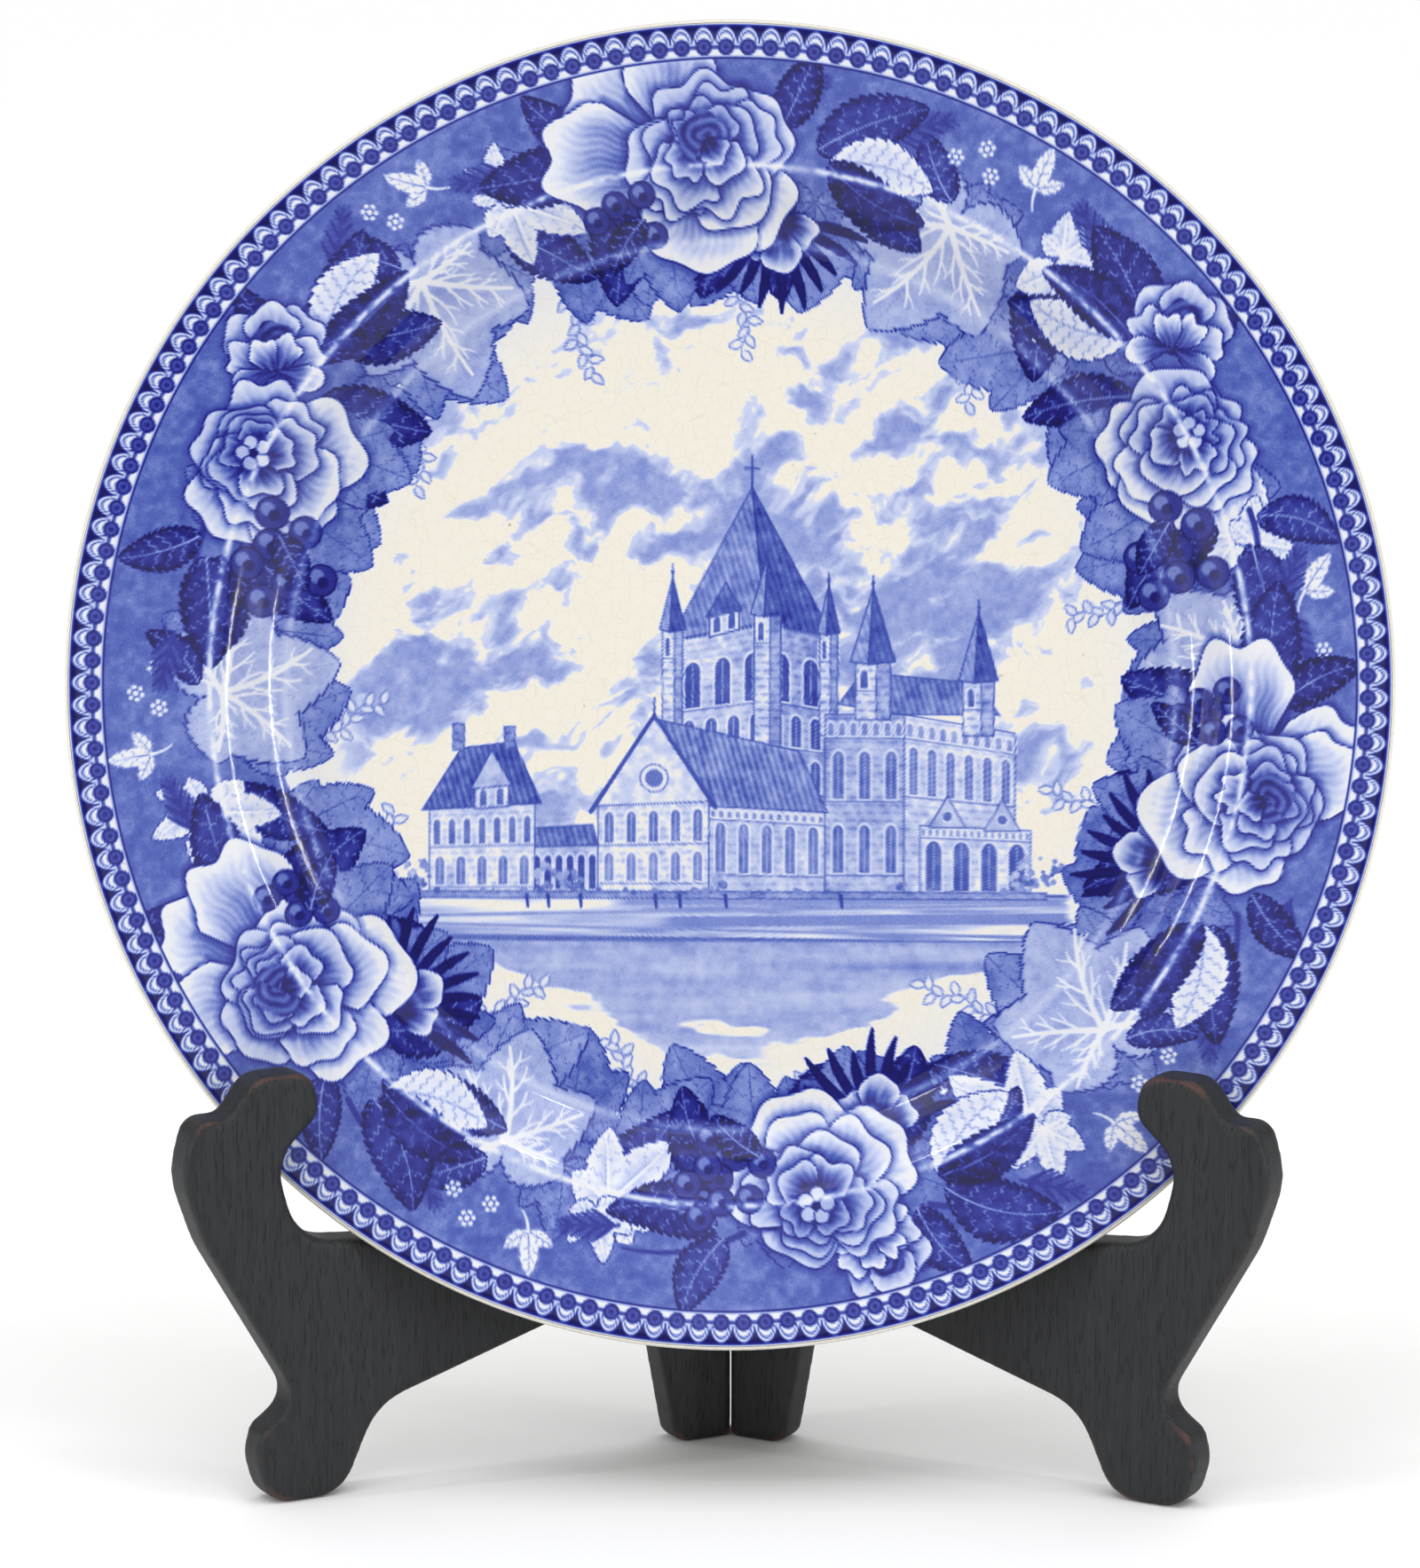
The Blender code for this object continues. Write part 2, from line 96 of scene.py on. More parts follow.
class Transfer:
    """The transfer print. ink is 0 on bare glaze and 1 in the darkest blue."""

    def __init__(self, x, y):
        self.x, self.y = x, y
        self.ink = np.zeros(len(x))
        self.soft = cloud_noise(x, y, 6, 11) - 0.5
        self.fine = cloud_noise(x, y, 1.5, 23, 2) - 0.5

    def lay(self, index, mask, tone):
        self.ink[index] += (tone - self.ink[index]) * mask

    def wash(self, mask, tone):
        """A layer over the whole plate."""
        self.ink += (tone - self.ink) * mask

    def around(self, x, y, turn, reach):
        """The points near a place, and their coordinates along and across the direction turn."""
        index = np.flatnonzero((np.abs(self.x - x) < reach) & (np.abs(self.y - y) < reach))
        dx, dy = self.x[index] - x, self.y[index] - y
        c, s = math.cos(turn), math.sin(turn)
        return index, dx * c + dy * s, dy * c - dx * s

    def stroke(self, route, width, tone):
        """A line through the route's points, tapering to its end."""
        xs, ys = zip(*route)
        x, y = (min(xs) + max(xs)) / 2, (min(ys) + max(ys)) / 2
        reach = max(max(xs) - min(xs), max(ys) - min(ys)) / 2 + width + 1
        index, u, v = self.around(x, y, 0, reach)
        best = np.full(len(index), -9.0)
        for i, ((ax, ay), (bx, by)) in enumerate(zip(route, route[1:])):
            ax, ay, bx, by = ax - x, ay - y, bx - x, by - y
            length = max((bx - ax) ** 2 + (by - ay) ** 2, 1e-6)
            share = np.clip(((u - ax) * (bx - ax) + (v - ay) * (by - ay)) / length, 0, 1)
            half = width / 2 * (1 - 0.6 * (i + share) / len(route))
            best = np.maximum(best, half - np.hypot(u - ax - share * (bx - ax), v - ay - share * (by - ay)))
        self.lay(index, fade(best), tone)

    def curl(self, x, y, turn, length, bend, width, tone):
        """A stroke that leaves in the direction turn and bends steadily."""
        route = [(x, y)]
        for k in range(8):
            route.append(away(*route[-1], turn + bend * k / 8, length / 8))
        self.stroke(route, width, tone)
        return route

    def foliage(self, x, y, turn, blades, body, margin, vein, outline, teeth=8, bow=0.1, ribs=6, rib=0.3,
                mottle=0.2, deep=2.0):
        """A leaf of one or more blades, each (angle in degrees, length, width), from one base.
        It runs from the margin's tone to the body's over the depth deep."""
        reach = max(length for _, length, _ in blades) * 1.1
        index, u, v = self.around(x, y, turn, reach)
        if len(index) == 0:
            return
        best = np.full(len(index), -9.0)
        veins = np.zeros(len(index))
        for angle, length, width in blades:
            a = math.radians(angle)
            along, across = u * math.cos(a) + v * math.sin(a), v * math.cos(a) - u * math.sin(a)
            t = np.clip(along / length, 0, 1)
            across = across - bow * length * 4 * t * (1 - t) * (1 if angle >= 0 else -1)
            side = np.abs(across)
            half = width / 2 * np.sin(math.pi * t ** 0.8) ** 0.72
            saw = (t * teeth + 0.15 * np.sin(9 * t)) % 1
            half = half - 0.16 * np.minimum(half, 4.5) * (saw ** 1.6 - 0.3)
            inside = np.where((along > -0.1) & (along < length), half - side, -9.0)
            ahead = inside > best
            best = np.maximum(best, inside)
            branch = (t * ribs - (side / width) ** 0.8 * 1.9 + 0.12 * np.sin(5 * across)) % 1
            lines = fade(rib * 0.42 - np.minimum(branch, 1 - branch) * length / ribs * 0.8)
            lines *= (side < half * 0.86) * (t < 0.93)
            middle = fade(rib * (1.4 - t) * 0.5 - side)
            veins = np.where(ahead, np.maximum(0.8 * lines, middle), veins)
        depth = np.clip(best / deep, 0, 1)
        tone = margin + (body - margin) * depth + mottle * (self.soft[index] + 0.9 * self.fine[index])
        self.lay(index, fade(best + 0.1), np.clip(tone, 0.0, 1))
        self.lay(index, fade(best) * veins * 0.92, vein)
        self.lay(index, fade(0.17 - np.abs(best)), outline)

    def fan(self, x, y, turn, reach, spread, base, rim, lobes, ruffle, phase, shade=0.5):
        """A petal opening from a centre: reach long, spread radians to each side, with a ruffled
        rim; dark and hatched towards the base, and throwing a shadow on what lies beneath."""
        index, u, v = self.around(x, y, turn, reach + ruffle + 2)
        if len(index) == 0:
            return
        r, s = np.hypot(u, v), np.arctan2(v, u) / spread
        side = np.clip(np.abs(s), 0, 1)
        edge = reach * (1 - 0.3 * side ** 3.2)
        edge += (ruffle * np.cos(lobes * math.pi * s + phase)
                 + 0.45 * ruffle * np.sin(2.7 * lobes * s + 2 * phase))
        beyond = (1 - np.abs(s)) * spread * np.maximum(r, 0.4)
        inside = np.minimum(edge - r, beyond)
        inside = np.where(np.abs(s) < 1.25, inside, -9.0)
        self.lay(index, shade * fade(inside + 0.9, 1.8), 0.88)
        self.lay(index, fade(inside + 0.3), 0.94)
        depth = np.clip((edge - r) / reach, 0, 1)
        fold = 0.5 - 0.5 * np.cos(lobes * math.pi * s + phase)
        hatch = 0.5 + 0.5 * np.sin(s * spread * reach * 3.1 + 2 * np.sin(r * 0.8))
        start = np.clip((depth - 0.05) / 0.5, 0, 1)
        tone = rim + (base - rim) * start ** 1.2 + 0.34 * fold * np.clip(depth / 0.25, 0, 1) * (base + 0.1)
        tone += 0.12 * hatch * np.clip(depth / 0.3, 0, 1) * (1 - np.clip(depth - 0.55, 0, 1))
        tone += 0.28 * fade(0.55 - beyond, 1.6) * np.clip(depth * 4, 0, 1) + 0.08 * self.fine[index]
        self.lay(index, fade(inside), np.clip(tone, 0.02, 0.95))

    def disc(self, x, y, radius, tone, edge=None):
        index, u, v = self.around(x, y, 0, radius + 1)
        inside = radius - np.hypot(u, v)
        if edge is not None:
            self.lay(index, fade(inside + 0.25), edge)
        self.lay(index, fade(inside), tone)

    # -- flowers and leaves made of those --

    def heart(self, x, y, size, rng, tone=0.88):
        """The dark swirled middle of a rose."""
        index, u, v = self.around(x, y, rng.uniform(0, 6), size + 1)
        r, angle = np.hypot(u, v), np.arctan2(v, u)
        inside = size * (1 + 0.08 * np.sin(5 * angle)) - r
        swirl = np.sin(r * 3.3 + 1.5 * angle + 0.9 * np.sin(3 * angle))
        self.lay(index, fade(inside), np.clip(tone - 0.16 + 0.15 * swirl + 0.2 * self.fine[index], 0.1, 1))

    def bloom(self, x, y, size, turn, rng, open_side=0.6, heart=True):
        """A full rose facing the direction turn: broad pale outer petals, then smaller cupped
        ones drawn closer about a heart that sits off the middle."""
        for ring, (reach, count, spread, base, rim) in enumerate(
                ((1.0, 5, 0.8, 0.4, 0.0), (0.78, 5, 0.72, 0.52, 0.02), (0.6, 4, 0.86, 0.6, 0.05),
                 (0.43, 4, 0.8, 0.7, 0.08))):
            cx, cy = away(x, y, turn, -open_side * size * 0.085 * ring)
            first = rng.uniform(0, 6)
            for i in rng.permutation(count):
                angle = first + math.tau * i / count + rng.uniform(-0.22, 0.22)
                facing = 0.5 + 0.5 * math.cos(angle - turn)
                long = size * reach * (0.82 + 0.22 * facing) * rng.uniform(0.93, 1.07)
                self.fan(cx, cy, angle, long, spread * rng.uniform(0.85, 1.15), base + 0.1 * (1 - facing),
                         rim + (0.16 + 0.04 * ring) * (1 - facing), int(rng.integers(2, 4)),
                         size * (0.032 + 0.012 * rng.random()), rng.uniform(0, 6), 0.6)
        hx, hy = away(x, y, turn, -open_side * size * 0.34)
        if heart:
            self.heart(hx, hy, size * 0.26, rng)
            self.fan(hx, hy, turn + 0.3, size * 0.3, 0.8, 0.7, 0.15, 2, 0.3, 1, 0.2)
        else:
            self.disc(hx, hy, size * 0.2, 0.85)
            for k in range(5):
                bead = away(hx, hy, turn + math.tau * k / 5, size * 0.12)
                self.disc(*bead, size * 0.075, 0.12 + 0.05 * k, 0.93)
            self.disc(hx, hy, size * 0.05, 0.95)

    def half_rose(self, x, y, size, turn, rng):
        """A rose just opening, seen from the side: a dark mouth behind cupped petals."""
        ruffle = size * 0.05
        for offset in (-1.0, 1.0, 0.0):
            self.fan(x, y, turn + offset * 0.6, size * 1.05, 0.6, 0.6, 0.1, 2, ruffle, rng.uniform(0, 6))
        self.heart(*away(x, y, turn, 0.45 * size), size * 0.34, rng, 0.95)
        low = away(x, y, turn, -0.12 * size)
        for offset, long, rim in ((-0.95, 0.86, 0.06), (0.95, 0.86, 0.1), (-0.38, 0.7, 0.03),
                                  (0.42, 0.66, 0.03)):
            self.fan(*low, turn + offset, size * long, 0.5, 0.5, rim, 2, ruffle, rng.uniform(0, 6))
        for offset in (-1.9, 1.9):
            self.fan(x, y, turn + offset, size * 0.75, 0.42, 0.5, 0.03, 1, size * 0.04, rng.uniform(0, 6))

    def dark_leaf(self, x, y, turn, length, rng, tone=0.9):
        width = length * rng.uniform(0.44, 0.56)
        self.foliage(x, y, turn, [(0, length, width)], tone - 0.07, tone + 0.07, 0.26, 1.0, 13,
                     rng.uniform(-0.12, 0.12), 6, 0.24, 0.2, 1.8)

    def curled_leaf(self, x, y, turn, length):
        """A dark leaf whose pale underside shows along one edge."""
        pale, dark = (0, length * 0.96, length * 0.5), (0, length, length * 0.42)
        self.foliage(x, y, turn + 0.14, [pale], 0.1, 0.0, 0.5, 0.9, 11, 0.1, 8, 0.3, 0.06)
        self.foliage(x, y, turn - 0.16, [dark], 0.88, 0.94, 0.5, 0.98, 12, -0.08, 6, 0.2, 0.3)

    def mid_leaf(self, x, y, turn, length, rng, tone=0.47):
        width = length * rng.uniform(0.6, 0.78)
        blades = lobed(length, width, 1, (74, 0.5, 0.5), (38, 0.78, 0.66))
        self.foliage(x, y, turn, blades, tone, tone + 0.04, 0.74, 0.86, 9, rng.uniform(0.0, 0.05), 5, 0.2,
                     0.18)

    def vine_leaf(self, x, y, turn, size, rng, tone=0.47):
        """A broad leaf with thick white veins."""
        blades = lobed(size, size, 0.74, (108, 0.6, 0.55), (54, 0.86, 0.66))
        self.foliage(x, y, turn, blades, 0.3, tone + 0.04, tone, 0.86, 9, 0.02, 5, 0.1, 0.16, 0.8)
        for angle, long, _ in blades:
            a = turn + math.radians(angle + rng.uniform(-9, 9))
            route = self.curl(x, y, a, long * 0.82, rng.uniform(-0.5, 0.5), 1.15, 0.03)
            for k in range(1, 7):
                side = 1 if k % 2 else -1
                twig = self.curl(*route[k], a + side * rng.uniform(0.55, 0.9),
                                 long * rng.uniform(0.3, 0.42) * (1 - k / 11), -side * rng.uniform(0.2, 0.9),
                                 0.62, 0.04)
                self.curl(*twig[4], a + side * 1.2, long * 0.12, -side * 0.5, 0.45, 0.06)

    def white_leaf(self, x, y, turn, size):
        """A deeply lobed pale leaf, blue along its white veins."""
        blades = lobed(size, size, 0.5, (100, 0.52, 0.4), (50, 0.8, 0.46))
        self.foliage(x, y, turn, blades, 0.24, 0.0, 0.42, 0.78, 6, 0.04, 4, 0.2, 0.08, size * 0.28)
        for angle, long, _ in blades:
            self.curl(x, y, turn + math.radians(angle), long * 0.8, 0.1, 0.75, 0.03)

    def sprig(self, x, y, turn, size):
        """A small white leaf lying alone on the ground."""
        blades = lobed(size, size, 0.46, (58, 0.66, 0.36))
        self.foliage(x, y, turn, blades, 0.04, 0.03, 0.6, 0.56, 4, 0.02, 4, 0.2, 0.05)
        self.curl(x, y, turn + math.pi, size * 0.5, 0.6, 0.6, 0.05)

    def fringe(self, x, y, turn, size, rng):
        """A pale cup with dark stamens spread like a fan."""
        for k in range(10):
            angle = turn + (k - 4.5) * 0.24
            blade = (0, size * rng.uniform(0.6, 0.95), size * 0.12)
            foot = away(x, y, angle, size * 0.5)
            self.foliage(*foot, angle, [blade], 0.96, 0.95, 0.9, 0.97, 2, 0.04, 2, 0.1, 0.05)
        for offset in (-0.8, 0.8, 0.0):
            long = size * (0.66 if offset else 0.8)
            self.fan(x, y, turn + offset, long, 0.5, 0.8, 0.06, 2, 0.3, offset * 4)

    def fern(self, x, y, turn, length, tone=0.7):
        """A dusky frond on the ground."""
        for k in range(1, 9):
            t = k / 9
            for side in (-1, 1):
                long = length * 0.34 * (1.1 - t)
                self.curl(*away(x, y, turn, length * t), turn + side * 0.8, long + 0.8, -side * 0.3, 1.1,
                          tone + 0.1 * (k % 2))
        self.curl(x, y, turn, length, 0, 0.7, tone + 0.08)

    def blossom(self, x, y, size):
        for k in range(6):
            self.disc(*away(x, y, math.tau * k / 6 + x, size * 0.66), size * 0.25, 0.05)
        self.disc(x, y, size * 0.28, 0.04, 0.66)

    def berries(self, x, y, size, count):
        for k in range(count):
            bx, by = away(x, y, 2.4 * k, size * 0.44 * math.sqrt(k))
            self.disc(bx, by, size * 0.36, 0.8, 1.0)
            self.disc(bx - size * 0.1, by + size * 0.1, size * 0.17, 0.5)
            self.disc(bx + size * 0.04, by - size * 0.05, size * 0.13, 0.93)

    def tendril(self, x, y, turn, length, tone=0.42):
        route, heading = [(x, y)], turn
        for k in range(12):
            heading += 0.45 * math.sin(k * 0.9 + turn * 3)
            route.append(away(*route[-1], heading, length / 12))
            side = 1 if k % 2 else -1
            turned = heading + side * 0.9
            self.foliage(*route[-1], turned, [(0, 2.7, 1.5)], 0.1, 0.08, 0.12, tone + 0.1, 1, 0, 2, 0.1)
        self.stroke(route, 0.42, tone)


# ---- The border ----

FACE = 117.5                     # plate radius
BEAD_CIRCLE = 112.6
BEADS = 181
BAND_INSIDE = 110.7


def place(angle, radius):
    """A point of the border. The angle is in degrees clockwise from the top."""
    return away(0, 0, math.radians(90 - angle), radius)


def outward(angle, turn=0):
    """The direction outward at an angle of the border, turned clockwise by turn degrees."""
    return math.radians(90 - angle - turn)


def print_ground(art):
    radius = np.hypot(art.x, art.y)
    tone = 0.575 + 0.14 * art.soft + 0.2 * art.fine
    inner = 82 + 6 * (cloud_noise(art.x, art.y, 14, 5) - 0.5)
    art.wash(fade(radius - inner) * fade(BAND_INSIDE - radius), tone)


def print_leafy_edge(art):
    """Leaves all round the inside of the border, pointing to the middle."""
    rng = np.random.default_rng(3)
    for k in range(14):
        angle = 360 / 14 * k + rng.uniform(-6, 6)
        art.tendril(*place(angle + 6, 76), outward(angle, 180 + rng.uniform(-55, 55)), rng.uniform(11, 19))
    for k in range(34):
        angle = 360 / 34 * k + rng.uniform(-3.5, 3.5)
        turn = outward(angle, 180 + rng.uniform(-40, 40))
        x, y = place(angle, 88 - rng.uniform(0, 6))
        art.mid_leaf(x, y, turn, rng.uniform(14, 22), rng, rng.uniform(0.43, 0.53))
    for k in range(16):
        angle = 360 / 16 * k + rng.uniform(-5, 5)
        art.mid_leaf(*place(angle, 90), outward(angle, rng.uniform(-60, 60)), rng.uniform(11, 15), rng, 0.5)


def print_spray(art, angle, side, seed, size, plan):
    """One spray of flowers about its rose. side is -1 to turn its plan over."""
    rng = np.random.default_rng(seed)

    def at(degrees, radius):
        return place(angle + side * (degrees + rng.uniform(-1, 1)), radius + rng.uniform(-0.8, 0.8))

    def facing(degrees, turn):
        return outward(angle + side * degrees, side * (turn + rng.uniform(-14, 14)))

    for degrees, radius, turn, long in ((-21, 98, -70, 11), (20, 101, 60, 12), (7, 106, 80, 9)):
        art.fern(*at(degrees, radius), facing(degrees, turn), long, 0.7)
    for degrees, radius, turn, long in ((-9, 90, 200, 21), (0, 88, 172, 19), (8, 88, 158, 20),
                                        (15, 93, 120, 19)):
        art.dark_leaf(*at(degrees, radius), facing(degrees, turn), long, rng, 0.9)
    for degrees, radius, turn, long in ((-5, 84, 188, 17), (4, 83, 175, 16)):
        art.mid_leaf(*at(degrees, radius), facing(degrees, turn), long, rng)
    art.curl(*at(-9, 97), facing(-9, -80), 22, 0.7 * side, 1.2, 0.8)
    art.curl(*at(12, 99), facing(12, 70), 20, -0.8 * side, 1.1, 0.8)
    for degrees, radius, turn, long in ((-12, 96, -100, 20), (-11, 98, -42, 15), (9, 99, 30, 15),
                                        (13, 96, 68, 21)):
        art.dark_leaf(*at(degrees, radius), facing(degrees, turn), long, rng, rng.uniform(0.84, 0.95))
    art.curled_leaf(*at(13, 94), facing(13, 98), 20)
    if plan != 1:
        art.fringe(*at(8, 84), facing(8, 168), 13, rng)
    if plan == 0:  # a great rose with tall white petals behind it
        for offset, long in ((-50, 24), (-98, 25), (-15, 21)):
            art.fan(*at(-1, 92), facing(-1, offset), long * size / 16, 0.5, 0.5, 0.02, 3, 0.9, offset, 0.8)
        art.bloom(*at(0, 93), size, facing(0, 150), rng, 0.7)
        art.berries(*at(-10, 86), 6, 6)
    elif plan == 1:  # a rose with a half-open one beside it and grapes
        art.half_rose(*at(9.5, 98), 11, facing(9, 40), rng)
        art.bloom(*at(0, 91), size, facing(0, 200), rng, 0.5, False)
        art.berries(*at(-11, 83), 7.5, 8)
    else:  # a rose over a half-open one hanging outward
        art.half_rose(*at(4, 100), 10, facing(4, 10), rng)
        art.bloom(*at(0, 90), size, facing(0, 175), rng, 0.6, False)
        art.berries(*at(-10.5, 88), 6.5, 9)
    art.dark_leaf(*at(-7, 84), facing(-7, 215), 11, rng, 0.93)


def print_between(art, angle, side, seed):
    """Leaves alone, between two sprays, with the ground left open toward the edge."""
    rng = np.random.default_rng(seed)
    art.dark_leaf(*place(angle + 7 * side, 90), outward(angle, 150 * side), 18, rng)
    art.vine_leaf(*place(angle - 4 * side, 90), outward(angle, 190 * side), rng.uniform(20, 23), rng)
    art.white_leaf(*place(angle + 9 * side, 94), outward(angle, 140 * side + rng.uniform(-25, 25)),
                   rng.uniform(14, 17))
    art.white_leaf(*place(angle + 8 * side, 96), outward(angle, 30 * side), rng.uniform(9, 11))
    art.dark_leaf(*place(angle - 8 * side, 92), outward(angle, -100 * side), 18, rng)
    art.dark_leaf(*place(angle - 5 * side, 94), outward(angle, -50 * side), 13, rng, 0.86)
    art.sprig(*place(angle + 2 * side, 103), outward(angle, rng.uniform(-60, 60)), 8)
    for degrees, radius in ((-4, 105), (-6.5, 101.5), (-2.5, 101)):
        art.blossom(*place(angle + degrees * side, radius), 1.7)


def print_edge_band(art):
    """Beads on a thread between the ground and the dark scallops of the edge."""
    radius, turn = np.hypot(art.x, art.y), np.arctan2(art.y, art.x)
    phase = (turn / math.tau * BEADS) % 1 - 0.5
    along = phase * math.tau * radius / BEADS
    art.wash(fade(radius - BAND_INSIDE), 0.04)
    arch = np.hypot(along / 2.0, (radius - BEAD_CIRCLE) / 3.5)
    outer = fade(radius - BEAD_CIRCLE - 0.6)
    art.wash(fade(0.06 - np.abs(arch - 0.76), 0.09) * outer, 0.72)
    art.wash(fade((arch - 0.97) * 1.9) * outer, 0.96)
    art.wash(fade(radius - 116.3), 0.9)
    art.wash(fade(0.34 - np.abs(radius - BEAD_CIRCLE)), 0.74)
    bead = 1.45 - np.hypot(along, radius - BEAD_CIRCLE)
    art.wash(fade(bead), 0.9)
    art.wash(fade(bead - 0.5), 0.68)
    art.wash(fade(bead - 1.0), 0.88)
    art.wash(fade(0.24 - np.abs(radius - BAND_INSIDE)), 0.92)
    art.wash(fade(radius - (FACE - 1.0), 0.4), 0.0)


# ---- The view in the middle ----

class View:
    """Draws buildings seen from low down at a corner. Heights are in mm above the ground line,
    and each wall shrinks evenly from its near end to its far end."""

    def __init__(self, art, ground):
        self.art, self.ground = art, ground

    def shape(self, corners, tone, outline=0.72, streak=0.0, line=0.15):
        """A convex face. Corners run anticlockwise."""
        art = self.art
        xs, ys = zip(*[(x, y + self.ground) for x, y in corners])
        cx, cy = (min(xs) + max(xs)) / 2, (min(ys) + max(ys)) / 2
        index, u, v = art.around(cx, cy, 0, max(max(xs) - min(xs), max(ys) - min(ys)) / 2 + 1)
        inside = np.full(len(index), 99.0)
        for (ax, ay), (bx, by) in zip(zip(xs, ys), zip(xs[1:] + xs[:1], ys[1:] + ys[:1])):
            ax, ay, bx, by = ax - cx, ay - cy, bx - cx, by - cy
            across = (bx - ax) * (v - ay) - (by - ay) * (u - ax)
            inside = np.minimum(inside, across / math.hypot(bx - ax, by - ay))
        body = tone + streak * np.sin(u * 5 + v * 1.5) + 0.3 * art.fine[index] + 0.22 * art.soft[index]
        art.lay(index, fade(inside), np.clip(body, 0, 1))
        art.lay(index, fade(line - np.abs(inside)) * 0.8, outline)

    def wall(self, x0, x1, s0, s1, low, high, tone, rows=(), courses=0.1):
        """A wall from x0 to x1, drawn at the scales s0 and s1 at its ends. rows of openings are
        (height of the sill, their height, how many, width as a share of the bay, tone)."""
        art = self.art
        top = max(high * s0, high * s1)
        index, u, v = art.around((x0 + x1) / 2, self.ground + top / 2, 0, max(x1 - x0, top) / 2 + 1)
        t = (u + (x1 - x0) / 2) / (x1 - x0)
        scale = s0 + (s1 - s0) * np.clip(t, 0, 1)
        q = (v + top / 2) / scale
        side = np.minimum(t, 1 - t) * (x1 - x0)
        inside = np.minimum(side, np.minimum(q - low, high - q) * scale)
        block = np.sin(q * 4.2) + 0.5 * np.sin(t * (x1 - x0) * 2.6 + 1.6 * np.floor(q * 0.67))
        body = tone + courses * (block > 0.55) + 0.34 * art.fine[index] + 0.24 * art.soft[index]
        art.lay(index, fade(inside), np.clip(body, 0, 1))
        for sill, tall, count, wide, dark in rows:
            bay = (x1 - x0) / count
            off = np.abs((t * count) % 1 - 0.5) * bay
            half = wide * bay / 2
            up = (q - sill) * scale
            head = tall * scale - half * 1.3
            arch = np.where(up > head, half - np.hypot(off, (up - head) / 1.3), half - off)
            gap = np.minimum(np.minimum(arch, up), side)
            art.lay(index, fade(gap + 0.42) * 0.75 * (gap < 0.1), 0.06)
            art.lay(index, fade(gap), dark + 0.2 * art.fine[index])
            art.lay(index, fade(0.13 - off) * (gap > 0.3) * (half > 0.7) * 0.6, 0.2)
            art.lay(index, fade(0.16 - np.abs(up + 0.5)) * (side > 0) * 0.6, 0.75)
        art.lay(index, fade(0.15 - np.abs(inside)) * 0.85, 0.72)

    def spire(self, x, y, half, high, tone=0.62):
        """A pointed roof with a light and a dark side, and its finial."""
        lean = half * 0.2
        self.shape([(x - half, y), (x - lean, y - 0.5), (x, y + high)], tone - 0.16, 0.8, 0.05)
        self.shape([(x - lean, y - 0.5), (x + half, y), (x, y + high)], tone + 0.12, 0.8, 0.05)
        self.art.stroke([(x, y + high + self.ground - 0.4), (x, y + high + self.ground + 2.4)], 0.4, 0.75)
        self.art.disc(x, y + high + self.ground + 0.9, 0.38, 0.75)

    def turret(self, x, low, high, half, roof):
        self.wall(x - half, x + half, 1, 1, low, high, 0.16, ((high - 5, 3.4, 2, 0.4, 0.66),), 0.2)
        self.wall(x + half * 0.2, x + half, 1, 1, low, high, 0.4, (), 0.1)
        self.spire(x, high, half * 1.3, roof)

    def tree(self, x, y, size, seed):
        """A rounded tree in short strokes."""
        rng = np.random.default_rng(seed)
        for _ in range(int(size * 7)):
            angle, out = rng.uniform(0, math.tau), size * math.sqrt(rng.random())
            shade = 0.3 + 0.25 * (0.5 + 0.5 * math.cos(angle + 0.6)) + rng.uniform(-0.1, 0.15)
            self.art.disc(x + out * math.cos(angle), self.ground + y + out * 0.8 * math.sin(angle),
                          rng.uniform(0.35, 0.8), shade)


def print_sky(art):
    """Broken clouds blown up to the right, with blank glaze between them and round them."""
    x, y = art.x, art.y
    radius = np.hypot(x / 64, (y - 6) / 60)
    warp = 10 * (cloud_noise(x, y, 13, 70) - 0.5)
    along, across = x * 0.93 + y * 0.36 + warp, (y * 0.93 - x * 0.36) + warp
    banks, flecks = cloud_noise(along, across * 2.1, 24, 41, 5), cloud_noise(along, across * 1.7, 7, 57, 4)
    body = 0.55 * banks + 0.45 * flecks
    behind = np.exp(-((x - 26) / 30) ** 2 - ((y - 14) / 30) ** 2)
    edge = 0.475 - 0.055 * behind + 0.25 * np.clip(radius - 0.8, 0, 1) + 0.02 * np.sin(x * 0.09 + 1)
    over = body - edge
    ragged = over + 0.028 * art.fine
    shade = 0.13 + 1.5 * np.clip(over, 0, 0.12) + 0.1 * np.clip(over * 25 - 1, 0, 1) + 0.16 * art.fine
    sky = np.clip(ragged / 0.014, 0, 1) * shade
    keep = fade(y + 30, 4) * fade(1.12 - radius, 0.16)
    art.wash(keep, np.clip(sky, 0, 0.46))


